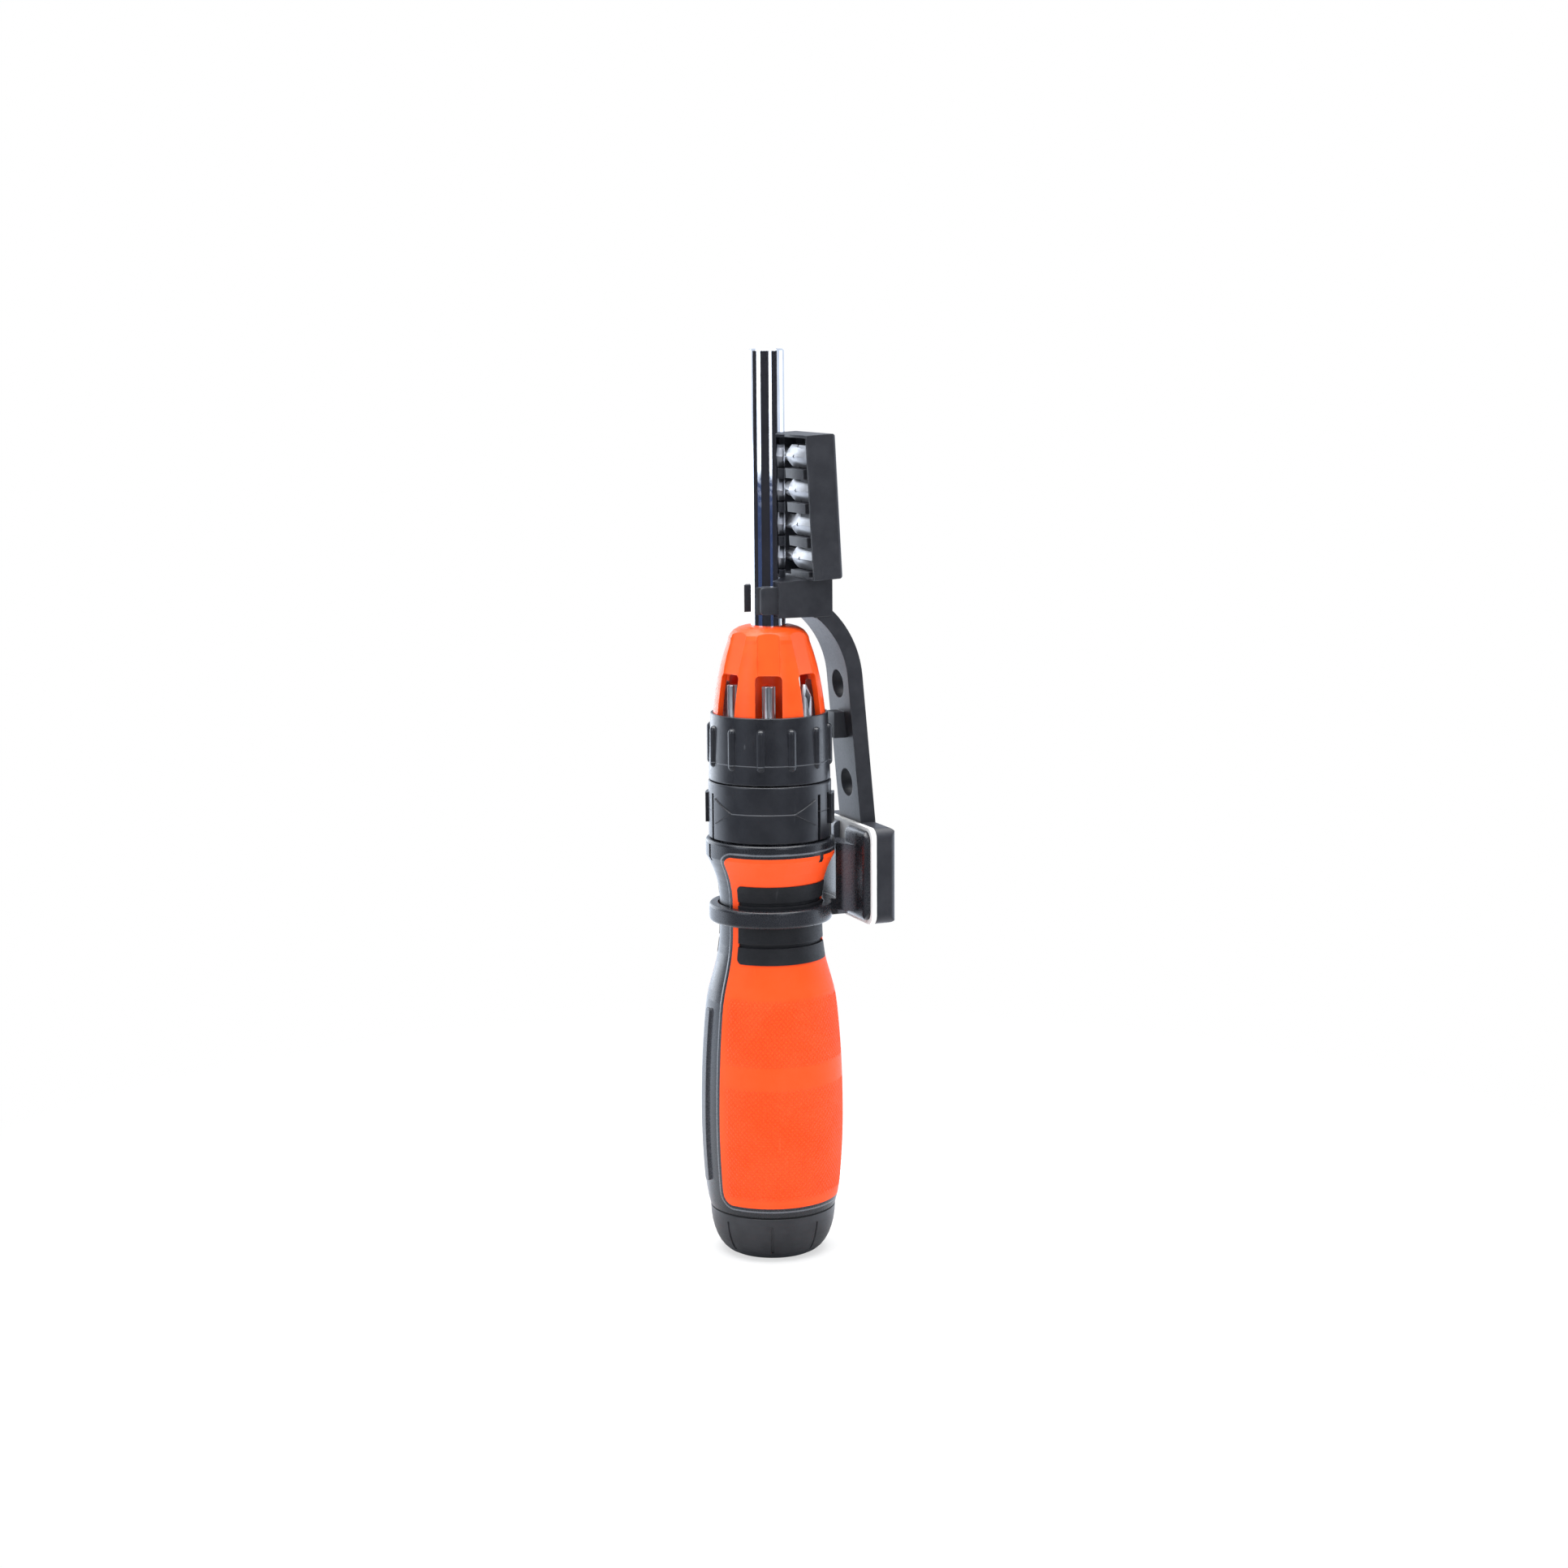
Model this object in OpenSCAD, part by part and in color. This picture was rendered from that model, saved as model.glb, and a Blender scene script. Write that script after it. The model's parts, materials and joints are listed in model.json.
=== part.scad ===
// Ratcheting screwdriver: soft-grip handle, selector ring, bit magazine under a sliding nose cone,
// and a moulded bit carrier that clips to the shaft and loops round the neck.
// Millimetres. +Z runs up the shaft, the origin is the centre of the end cap's flat base,
// +X points from the axis to the carrier and the two grips face -Y and +Y.

/* [Handle] */
// Height of the end cap
cap_h = 13.7; // [11:0.1:16]
// Radius of the flat that the end cap stands on
base_r = 11; // [8:0.1:14]
// Radius of the handle where it meets the end cap
seam_r = 18.2; // [16.5:0.1:19]
// Height of the handle's rounded heel
heel_z = 21; // [19:0.1:26]
// Radius of the handle at its heel
heel_r = 19.6; // [18.5:0.1:20.5]
// Height of the widest place of the handle
belly_z = 41; // [34:0.5:50]
// Radius of the handle at its widest place
belly_r = 20.6; // [19.6:0.1:22]
// Height of the shoulder under the neck
shoulder_z = 74; // [68:0.5:78]
// Radius of the handle at the shoulder
shoulder_r = 18.9; // [17.5:0.1:19.5]
// Height at which the neck begins
waist_z = 90; // [85:0.5:94]
// Radius of the handle where the neck begins
waist_r = 15.15; // [14.8:0.05:16.5]
// Height of the narrowest place of the neck
neck_z = 104.5; // [100:0.5:108]
// Radius of the neck at its narrowest place
neck_r = 14.7; // [14.2:0.05:15.1]
// Height of the handle's top face
handle_top_z = 122.3; // [120:0.1:128]
// Height of the flange under the selector ring
flange_h = 4.8; // [3:0.1:6]
// Radius of that flange
flange_r = 18.5; // [17.5:0.1:19.5]
// Rounding of the flange's upper edge
flange_round = 0.8; // [0.3:0.1:1.5]
// How proud the side ridges stand
ridge_rise = 0.8; // [0.4:0.1:1.6]
// Half width of a side ridge, in degrees round the handle
ridge_half = 4; // [3:0.5:16]
// Height at which the side ridges start
ridge_low_z = 22.5; // [18:0.5:28]
// Length of the side ridges
ridge_l = 51; // [40:0.5:58]
// Number of fine grooves up the end cap's side
cap_groove_count = 8; // [4:1:12]
// Width of those grooves
cap_groove_w = 0.8; // [0.4:0.1:1.5]
// Depth of those grooves
cap_groove_d = 0.3; // [0.1:0.05:0.6]
// Height at which those grooves start
cap_groove_low = 2.5; // [1:0.1:4]
// Length of those grooves
cap_groove_l = 8.8; // [5:0.1:9]

/* [Grips] */
// Thickness of the moulded grips
grip_t = 2; // [1.2:0.1:2.2]
// Half width of a grip, in degrees round the handle
grip_half = 69; // [60:0.5:72]
// Height of the grips' lower edge
grip_low_z = 16.9; // [15:0.1:20]
// Distance of the grips' upper edge below the handle's top face
grip_top_drop = 3.7; // [2.5:0.1:4.5]
// Corner radius of the grips
grip_corner_r = 3.5; // [1.5:0.1:5]
// Place of the selector's index mark, in degrees from the middle of a grip
index_deg = 30.5; // [20:0.5:45]
// Width of the index mark
index_w = 1.6; // [1:0.1:2.5]
// Height of the index mark
index_h = 2.1; // [1:0.1:3]
// Height of the neck pads' lower edge
pad_low_z = 87.5; // [84:0.5:90]
// Length of the neck pads
pad_l = 22.5; // [18:0.5:25]
// Half width of a neck pad, in degrees round the neck
pad_half = 60; // [45:0.5:65]
// Depth to which a neck pad is let into its grip
pad_t = 1.2; // [0.8:0.1:1.5]
// How proud the neck pads stand
pad_rise = 0.3; // [0.1:0.05:0.5]
// Corner radius of the neck pads
pad_corner_r = 1.6; // [0.5:0.1:3]
// Number of grooves across a neck pad
pad_groove_count = 3; // [1:1:4]
// Distance between the grooves
pad_groove_pitch = 6; // [4:0.1:7]
// Width of a groove
pad_groove_w = 1.1; // [0.6:0.1:1.6]
// Depth of a groove
pad_groove_d = 0.7; // [0.3:0.1:1]

/* [Ratchet] */
// Radius of the shaft
shaft_r = 5; // [4.6:0.05:5.4]
// Radial clearance of everything that turns or slides on a shaft or pin
fit = 0.05; // [0.02:0.01:0.1]
// Wall of the two shaft bushes
bush_t = 2; // [1.2:0.1:2.5]
// Length of the lower bush
bush_l = 8; // [5:0.5:12]
// Radius of the ratchet housing's stem in the handle
stem_r = 11.5; // [10:0.1:12]
// Length of that stem
stem_l = 18; // [14:0.5:20]
// Radius of the ratchet housing's head inside the selector ring
head_r = 14.9; // [14.4:0.1:15.2]
// Floor of the ratchet housing under the gear
head_floor = 1.6; // [1:0.1:2.5]
// Thickness of the thrust washer
washer_t = 0.8; // [0.5:0.1:1.2]
// Tip radius of the ratchet gear
gear_tip_r = 9; // [8.6:0.1:9.2]
// Depth of the ratchet teeth
gear_tooth_d = 1.4; // [1:0.1:1.8]
// Number of ratchet teeth
gear_teeth = 24; // [12:12:36]
// Height of the ratchet gear
gear_h = 9; // [7:0.1:10]
// Distance of the pawl pins from the shaft's axis
pawl_pin_at = 11.3; // [11:0.1:11.6]
// Angle of the pawl pins either side of the -X side
pawl_pin_deg = 53; // [48:0.5:58]
// Radius of the pawl pins
pin_r = 1; // [0.8:0.05:1.2]
// Radius of a pawl round its pin
pawl_r = 1.8; // [1.6:0.05:2]
// Height of the pawls
pawl_h = 7; // [5:0.1:7.5]
// Radius of the selector's detent ball
ball_r = 1.2; // [0.9:0.05:1.4]
// Thickness of the cover over the ratchet
cover_t = 4.7; // [3:0.1:6]
// Radius of that cover, which keeps the selector ring down
cover_r = 16.2; // [15.8:0.1:16.4]

/* [Selector ring] */
// Height of the selector ring
selector_h = 16.4; // [16.2:0.1:20]
// Outer radius of the selector ring
selector_r = 17.6; // [17.3:0.1:18.2]
// Gap above and below the selector ring
ring_gap = 0.3; // [0.2:0.05:0.6]
// Rounding of the outer edges of the selector ring and the collar
ring_round = 0.5; // [0.2:0.05:0.8]
// How far the selector turns each way, in degrees
selector_turn = 20; // [10:1:24]
// Angle of the thumb pads, in degrees from +X
thumb_deg = -29; // [-40:0.5:-20]
// Half width of a thumb pad
thumb_half = 11.5; // [8:0.5:14]
// How proud a thumb pad stands
thumb_rise = 0.9; // [0.4:0.1:1.2]
// Height of a thumb pad
thumb_h = 8.5; // [6:0.1:10]
// Half angle of the plain face's border groove from the thumb pad
border_deg = 30.3; // [26:0.5:34]
// Width of the grooves beside a thumb pad
slot_w = 1.2; // [0.8:0.1:1.6]
// Depth of those grooves
slot_d = 0.9; // [0.4:0.1:1]
// Length of an arrow mark
arrow_l = 7.4; // [4:0.1:9]
// Height of an arrow mark
arrow_h = 7.4; // [4:0.1:9]
// Space between an arrow mark and the groove behind it, in degrees
arrow_gap = 5; // [2:0.5:10]
// How proud an arrow mark stands
arrow_rise = 0.35; // [0.2:0.05:0.5]

/* [Bit magazine] */
// Height of the ribbed collar
collar_h = 19.1; // [17:0.1:22]
// Radius of the collar at its foot
collar_r = 17.4; // [17.2:0.1:17.8]
// Radius of the collar at its rim
collar_top_r = 16.8; // [16.8:0.1:17.4]
// Wall of the collar's rim round the nose cone
rim_t = 0.6; // [0.5:0.1:1.2]
// Depth of the rim above the bit holes
rim_d = 5; // [4.5:0.1:7]
// Floor of the collar under the bits
collar_floor = 2.7; // [2:0.1:3.5]
// Number of grip ribs on the collar
rib_count = 12; // [8:1:16]
// Radius of a rib
rib_r = 1.3; // [0.9:0.05:1.6]
// How proud the ribs stand
rib_rise = 0.7; // [0.5:0.05:1.2]
// Length of the ribs
rib_l = 12; // [8:0.1:13]
// Height of the ribs above the collar's foot
rib_low = 3.9; // [2.5:0.1:5]
// Number of bits in the magazine
bit_count = 7; // [5:1:7]
// Distance of the bits from the shaft's axis
bit_at = 12.6; // [12.3:0.05:12.7]
// Turn of the first bit about the axis, in degrees from +X
bit_first_deg = -112; // [-140:0.5:-90]

/* [Bits] */
// Width of a bit's hexagon across its flats
bit_flats = 6.35; // [6:0.05:6.5]
// Length of a bit
bit_l = 25; // [23:0.5:26]
// Length of a bit's hexagonal shank
bit_shank = 13; // [10:0.5:14]
// Length of the shank of the bits in the rack, which have a shorter neck
rack_bit_shank = 18; // [14:0.5:20]
// Chamfer at the ends of a bit's shank
bit_chamfer = 0.3; // [0.1:0.05:0.5]
// Radius of a bit's driving end
bit_tip_r = 2; // [1.6:0.05:2.3]
// Clearance round a bit in its holder
bit_clear = 0.1; // [0.05:0.01:0.2]

/* [Nose cone and shaft] */
// Height of the nose cone above the collar's rim
cone_h = 24.8; // [23:0.1:28]
// Radius of the nose cone at the collar
cone_base_r = 16; // [15.4:0.05:16.05]
// Radius of the nose cone at the top of its windows
cone_mid_r = 14.2; // [13.8:0.1:14.6]
// Radius of the nose cone below its rounded top
cone_shoulder_r = 11.7; // [11:0.1:12.5]
// Height of the rounded crown
cone_crown_h = 4.6; // [2:0.1:5]
// How far the crown reaches in from the shoulder
cone_crown_w = 6.2; // [4:0.1:6.3]
// Wall of the nose cone
cone_t = 1.8; // [1.2:0.1:2.2]
// How deep the nose cone reaches into the collar's rim
cone_skirt = 4; // [2.5:0.1:4.2]
// Height of the windows above the rim
window_h = 11.6; // [9:0.1:13]
// Width of a window
window_w = 7.6; // [6:0.1:8]
// Radius of a window's upper corners
window_corner_r = 1.2; // [0.4:0.1:2]
// Depth of the flutes above the windows
flute_d = 0.7; // [0.3:0.05:1]
// Width of the flutes' floors
flute_w = 5.9; // [4:0.1:6.5]
// How far each side of a flute slopes outwards
flute_flare = 0.7; // [0:0.05:1]
// How far the nose cone slides up while the carrier is on
cone_travel = 2; // [0.8:0.1:2.4]
// Length of the shaft above the nose cone
shaft_reach = 77.5; // [60:0.1:100]
// Depth of the hexagonal socket in the shaft's end
socket_d = 14; // [10:0.5:18]
// Edge chamfer at the shaft's end
shaft_chamfer = 0.5; // [0.2:0.1:0.8]
// Radius of the magnet at the bottom of the socket
magnet_r = 2.5; // [2:0.1:3]
// Length of the magnet
magnet_l = 2; // [1:0.1:2.5]

/* [Carrier] */
// Width of the carrier's spine
spine_w = 15.5; // [13:0.1:18]
// Thickness of the spine
spine_t = 4.6; // [3:0.1:5]
// Distance of the spine's outer face from the axis at its foot
spine_foot_x = 29.7; // [29:0.1:32]
// Lean of the spine towards the shaft, in degrees
spine_lean = 5.3; // [4:0.1:6]
// Outer radius of the bend at the top of the spine
spine_bend_r = 30; // [27:0.5:32]
// Angle of that bend, in degrees
spine_bend = 46; // [40:1:50]
// Radius of the two holes in the spine
spine_hole_r = 4.1; // [3:0.1:5]
// Distance of the lower hole above the spine's foot
spine_hole_low = 11.5; // [9:0.5:14]
// Distance between the two holes
spine_hole_pitch = 29; // [22:0.5:30]
// Half width of the rest that keeps the spine off the collar
rest_half_w = 2.8; // [2:0.1:4]
// Height of the rest
rest_h = 7.5; // [4:0.1:9]
// How far the rest's top lies below the collar's rim
rest_drop = 1.1; // [0:0.1:3]
// Gap between the rest and the collar's ribs
rest_gap = 0.5; // [0.3:0.1:1]
// Height of the clip that snaps round the shaft
clip_h = 7.7; // [5:0.1:9]
// Wall of the clip
clip_t = 2.1; // [1.4:0.1:2.8]
// How far the clip's prongs reach past the shaft's axis
clip_reach = 4.8; // [3.5:0.1:5.5]
// Rounding of the prongs' ends
clip_round = 1; // [0.3:0.1:1.5]
// Half width of the clip's mouth
clip_mouth = 4.5; // [4:0.1:4.7]
// Gap between the raised nose cone and the clip
clip_gap = 0.4; // [0.3:0.05:0.8]
// Height of the clip's body
clip_body_h = 10.6; // [9.5:0.1:13]
// Distance of the clip body's outer face from the axis
clip_body_x = 16.4; // [15:0.1:18]
// How much wider the clip's body is than the spine, on each side
clip_body_side = 0.3; // [0.2:0.1:1]
// Number of bits in the rack
rack_count = 4; // [2:1:5]
// Distance between the bits in the rack
rack_pitch = 9.6; // [8.5:0.1:11]
// Height of the lowest bit above the rack's foot
rack_low = 5.6; // [5:0.1:7]
// Height of the rack above its highest bit
rack_high = 6.2; // [5:0.1:8]
// Depth of the rack
rack_depth = 9.1; // [8.9:0.1:11]
// Back wall of the rack
rack_back = 1.5; // [1:0.1:1.6]
// Side walls of the rack
rack_wall = 0.8; // [0.6:0.1:1.5]
// Distance of the rack's open face from the axis at its foot
rack_foot_x = 8.6; // [8.4:0.1:10]
// Lean of the rack towards the shaft, in degrees
rack_lean = 3.1; // [1:0.1:3.5]
// Height of the separators between the bits
tab_h = 2.8; // [2:0.1:3]
// Length of the separators
tab_l = 13.2; // [8:0.1:16]
// Gap between the separators and the rack's front wall
tab_in = 2.9; // [0.5:0.1:6]
// Rounding of the rack's outer edges
rack_round = 1.4; // [0.5:0.1:2]
// Height of the block at the spine's foot
block_h = 27.9; // [24:0.1:32]
// Half width of that block
block_half_w = 19; // [15:0.1:22]
// Thickness of the block
block_t = 6.3; // [5.5:0.1:8]
// Rounding of the block's outer edges
block_round = 2.2; // [0.5:0.1:2.8]
// Corner radius of the block, the card and the strap's plate
block_corner_r = 3; // [1:0.1:5]
// Thickness of the label card
card_t = 1.5; // [0.4:0.1:2]
// Height of the block's foot above the strap's lower edge, negative where it is below it
block_rise = -0.9; // [-2:0.1:4]
// Height of the strap round the neck
strap_h = 5; // [3:0.1:6]
// Wall of the strap
strap_t = 2.5; // [1.5:0.1:3]
// Rounding of the strap's outer edges
strap_round = 0.8; // [0.2:0.1:1.2]
// Gap between the strap and the neck pads
strap_gap = 0.2; // [0.15:0.05:0.6]
// Height of the strap's lower edge
strap_low_z = 98.3; // [96:0.1:101]
// Thickness of the strap's plate against the card
plate_t = 1.9; // [1.2:0.1:2.4]
// How far the plate's outline lies inside the block's
plate_inset = 1; // [0.5:0.1:2]
// Half width of the web between strap and plate
web_half_w = 3.2; // [2:0.1:4.5]
// Distance of the web's top below the plate's
web_drop = 4.7; // [2:0.1:8]
// Half width of the notch in the plate above the web
notch_half_w = 4.2; // [3:0.1:8]
// Radius of the coves between web and plate
cove_r = 9; // [3:0.1:12]
// Rounding of the plate's inner edges
plate_round = 1.7; // [0.3:0.1:1.8]
// Radius of the two pegs that pass through the card
peg_r = 2; // [1.4:0.1:2.6]

/* [Hidden] */
$fn = 64;
profile_step = 2.7;
over = 1;
corner_ease = 1.01;
flange_z = handle_top_z - flange_h;
handle_stations = [
    [cap_h, seam_r],
    [heel_z, heel_r],
    [belly_z, belly_r],
    [shoulder_z, shoulder_r],
    [waist_z, waist_r],
    [neck_z, neck_r],
    [flange_z, flange_r]
];
grip_top_z = handle_top_z - grip_top_drop;
pad_top_z = pad_low_z + pad_l;
cap_plug_r = 10;
cap_plug_l = 8;
slack = 0.4;

stem_z = handle_top_z - stem_l;
bush_r = shaft_r + fit + bush_t;
washer_z = handle_top_z + head_floor;
gear_z = washer_z + washer_t + fit;
cover_z = gear_z + gear_h + ring_gap;
chamber_r = gear_tip_r + slack;
pocket_r = pawl_pin_at + pawl_r + slack / 2;
pocket_half = 84;
gear_root_r = gear_tip_r - gear_tooth_d;
pawl_z = gear_z + ring_gap;
pawl_nose_deg = 360 / gear_teeth;
pawl_nose_gap = 0.3;
pawl_nose_r = gear_root_r + pawl_nose_gap;
detent_z = handle_top_z + selector_h / 2 - 2;
detent_hole_r = ball_r + fit;
detent_wall = 0.8;
detent_in = chamber_r + detent_wall;
ball_rise = 0.25;
ball_at = head_r + fit + ball_rise - ball_r;
clip_ring_h = 1;
clip_ring_mouth = 4.5;
groove_depth = 0.8;
clip_ring_z = stem_z - ring_gap - clip_ring_h;
shaft_tail = 1.4;
shaft_foot_z = clip_ring_z - shaft_tail;

selector_z = handle_top_z + ring_gap;
selector_top_z = selector_z + selector_h;
lug_half = 4;
lug_h = 5;
lug_reach = 0.6;
lug_in = pocket_r - lug_reach;
arrow_z = selector_z + selector_h / 2 + 0.2;

collar_z = selector_top_z + ring_gap;
rim_z = collar_z + collar_h;
bit_z = collar_z + collar_floor;
rib_at = collar_r + rib_rise - rib_r;
rib_top_r = collar_r + rib_rise;
rib_end_round = 0.9 * rib_r;

cone_top_z = rim_z + cone_h;
rim_in_r = collar_top_r - rim_t;
cone_skirt_r = min(cone_base_r, rim_in_r - slack / 2);
sleeve_t = 3;
sleeve_r = shaft_r + sleeve_t;
sleeve_z = rim_z - rim_d + slack;
cone_roof = 2;
cavity_top = cone_h - cone_crown_h - cone_roof;
cone_stations = [
    [0, cone_base_r],
    [window_h, cone_mid_r],
    [cone_h - cone_crown_h, cone_shoulder_r]
];
flute_slope = atan2(cone_mid_r - cone_shoulder_r, cone_h - cone_crown_h - window_h);
shaft_top_z = cone_top_z + shaft_reach;
socket_z = shaft_top_z - socket_d;

clip_r = shaft_r + fit;
clip_body_z = cone_top_z + cone_travel + clip_gap;
clip_lift = 1;
clip_z = clip_body_z + clip_lift;
swing_r = max(flange_r, selector_r + thumb_rise, rib_top_r) + rest_gap;
strap_r = max(handle_r(strap_low_z), handle_r(strap_low_z + strap_h)) + pad_rise + strap_gap;
block_z = strap_low_z + block_rise;
block_top_z = block_z + block_h;
block_x = spine_foot_x - spine_t / cos(spine_lean);
card_x = block_x - card_t;
plate_x = card_x - plate_t;
spine_root = 3.2;
spine_end_z = clip_body_z + spine_root;
spine_straight = (spine_end_z - block_top_z
    + spine_bend_r * (sin(spine_lean) - sin(spine_lean + spine_bend))) / cos(spine_lean);
spine_bend_x = spine_foot_x - spine_straight * sin(spine_lean) - spine_bend_r * cos(spine_lean);
spine_bend_z = block_top_z + spine_straight * cos(spine_lean) - spine_bend_r * sin(spine_lean);
rack_z = clip_body_z + clip_body_h;
rack_h = rack_low + rack_pitch * (rack_count - 1) + rack_high;
rack_half = bit_l / 2 + bit_clear + rack_wall;
rack_bit_x = rack_depth - rack_back - bit_clear - bit_flats / sqrt(3);
tongue_l = 3;

black = [0.13, 0.13, 0.14];
orange = [1, 0.35, 0.12];
steel = [0.72, 0.73, 0.75];
bronze = [0.72, 0.52, 0.28];
card_white = [0.95, 0.95, 0.93];

// Smooth curve through stations of [height, radius]: level at its peaks and dips.
function secant(s, i) = (s[i + 1][1] - s[i][1]) / (s[i + 1][0] - s[i][0]);
function inner_slope(s, i) = secant(s, i - 1) * secant(s, i) <= 0
    ? 0
    : (s[i + 1][1] - s[i - 1][1]) / (s[i + 1][0] - s[i - 1][0]);
function slope(s, i) =
    i == 0 ? 2 * secant(s, 0) - inner_slope(s, 1) :
    i == len(s) - 1 ? 2 * secant(s, i - 1) - inner_slope(s, i - 1) :
    inner_slope(s, i);
function span_of(s, z) = max([for (i = [0 : len(s) - 2]) z >= s[i][0] ? i : 0]);
function curve(s, z) =
    let (
        i = span_of(s, z),
        h = s[i + 1][0] - s[i][0],
        t = (z - s[i][0]) / h
    )
    s[i][1] * (1 + 2 * t) * pow(1 - t, 2) + slope(s, i) * h * t * pow(1 - t, 2)
    + s[i + 1][1] * t * t * (3 - 2 * t) + slope(s, i + 1) * h * t * t * (t - 1);
function handle_r(z) = z >= flange_z ? flange_r : curve(handle_stations, max(z, cap_h));

// Heights on one common grid, so that neighbouring revolved faces meet along the same edges.
function heights(z0, z1) = concat(
    [z0],
    [for (k = [ceil(z0 / profile_step) : floor(z1 / profile_step)])
        if (k * profile_step > z0 + 0.1 && k * profile_step < z1 - 0.1) k * profile_step],
    z0 < flange_z && flange_z < z1 ? [flange_z] : [],
    [z1]
);
function sorted(list) = len(list) < 2 ? list : let (
        mid = list[floor(len(list) / 2)]
    ) concat(
        sorted([for (v = list) if (v < mid) v]),
        [mid],
        sorted([for (v = list) if (v > mid) v])
    );
function handle_side(z0, z1, grow) = [for (z = sorted(heights(z0, z1))) [handle_r(z) + grow, z]];
// A point of the round at a turned rim, `a` degrees up from its side.
function rounded_edge(r, z, edge, a) = [r - edge * (1 - cos(a)), z - edge * (1 - sin(a))];
function cap_side(inset) = [for (a = [-90 : 10 : 0])
    [base_r + (seam_r - base_r) * cos(a) - inset, cap_h * (1 + sin(a))]];
function reversed(list) = [for (i = [len(list) - 1 : -1 : 0]) list[i]];

// A layer of the handle's skin, centred on -Y: from z0 to z1, `half` degrees to each side,
// between two offsets of the handle's outline, with rounded corners.
module skin(z0, z1, half, low, high, corner_r) {
    difference() {
        rotate([0, 0, -90 - half])
            rotate_extrude(angle = 2 * half)
                polygon(concat(handle_side(z0, z1, high), reversed(handle_side(z0, z1, low))));
        for (side = [-1, 1]) {
            skin_corner(z0, 1, side, half, corner_r);
            skin_corner(z1, -1, side, half, corner_r);
        }
    }
}

// What is cut from one corner of a skin: a block less the round that stays.
module skin_corner(z, up, side, half, corner_r) {
    reach = flange_r + belly_r;
    turn = half - asin(corner_r / handle_r(z));
    rotate([0, 0, -90 + side * turn])
        translate([0, 0, z + up * corner_r])
            difference() {
                translate([0, side > 0 ? 0 : -2 * corner_r, up > 0 ? -2 * corner_r : 0])
                    cube([reach, 2 * corner_r, 2 * corner_r]);
                rotate([0, 90, 0])
                    cylinder(r = corner_r * corner_ease, h = 3 * reach, center = true);
            }
}

// One grip's space in the handle, with the index mark left standing.
module grip_blank(high) {
    difference() {
        skin(grip_low_z, grip_top_z, grip_half, -grip_t, high, grip_corner_r);
        rotate([0, 0, -90 + index_deg])
            translate([0, -index_w / 2, grip_top_z - index_h])
                cube([flange_r + 2 * over, index_w, index_h + over]);
    }
}

module pad_blank(high) {
    skin(pad_low_z, pad_top_z, pad_half, -pad_t, high, pad_corner_r);
}

module handle_core() {
    color(black)
        difference() {
            union() {
                rotate_extrude()
                    polygon(concat(
                        [[0, cap_h]],
                        handle_side(cap_h, handle_top_z - flange_round, 0),
                        [for (a = [30 : 30 : 90]) rounded_edge(flange_r, handle_top_z, flange_round, a)],
                        [[0, handle_top_z]]
                    ));
                for (side = [90, -90])
                    rotate([0, 0, side])
                        skin(ridge_low_z, ridge_low_z + ridge_l, ridge_half, -grip_t, ridge_rise, ridge_rise);
            }
            for (side = [0, 180])
                rotate([0, 0, side])
                    grip_blank(over);
            translate([0, 0, stem_z])
                cylinder(r = stem_r, h = stem_l + over);
            translate([0, 0, shaft_foot_z - over])
                cylinder(r = bush_r + over, h = stem_l);
            translate([0, 0, cap_h - over])
                cylinder(r = cap_plug_r, h = cap_plug_l + over);
            for (side = [-1, 1])
                translate([side * flange_r - slot_d, -slot_w / 2, flange_z - over])
                    cube([2 * slot_d, slot_w, flange_h]);
        }
}

module grip() {
    difference() {
        grip_blank(0);
        pad_blank(over);
    }
}

module front_grip() {
    color(orange) grip();
}

module rear_grip() {
    color(orange) rotate([0, 0, 180]) grip();
}

module neck_pad() {
    first = (pad_low_z + pad_top_z - (pad_groove_count - 1) * pad_groove_pitch) / 2;
    difference() {
        pad_blank(pad_rise);
        for (i = [0 : pad_groove_count - 1]) {
            z = first + i * pad_groove_pitch;
            translate([0, 0, z - pad_groove_w / 2])
                rotate_extrude()
                    translate([handle_r(z) + pad_rise - pad_groove_d, 0])
                        square([2 * over, pad_groove_w]);
        }
    }
}

module front_neck_pad() {
    color(black) neck_pad();
}

module rear_neck_pad() {
    color(black) rotate([0, 0, 180]) neck_pad();
}

module cap_body(inset) {
    rotate_extrude()
        polygon(concat([[0, 0]], cap_side(inset), [[0, cap_h]]));
}

module end_cap() {
    color(black)
        union() {
            difference() {
                cap_body(0);
                for (i = [0.5 : cap_groove_count])
                    rotate([0, 0, i * 360 / cap_groove_count])
                        difference() {
                            translate([base_r - over, -cap_groove_w / 2, cap_groove_low])
                                cube([seam_r, cap_groove_w, cap_groove_l]);
                            cap_body(cap_groove_d);
                        }
            }
            translate([0, 0, cap_h])
                cylinder(r = cap_plug_r, h = cap_plug_l);
        }
}

// Ratchet

// A sector of a ring round the axis, centred on +X.
module sector(r0, r1, z0, z1, half) {
    rotate([0, 0, -half])
        rotate_extrude(angle = 2 * half)
            translate([r0, z0])
                square([r1 - r0, z1 - z0]);
}

module at_pawl_pins() {
    for (side = [-1, 1])
        rotate([0, 0, 180 + side * pawl_pin_deg])
            translate([pawl_pin_at, 0, 0])
                children();
}

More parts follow.
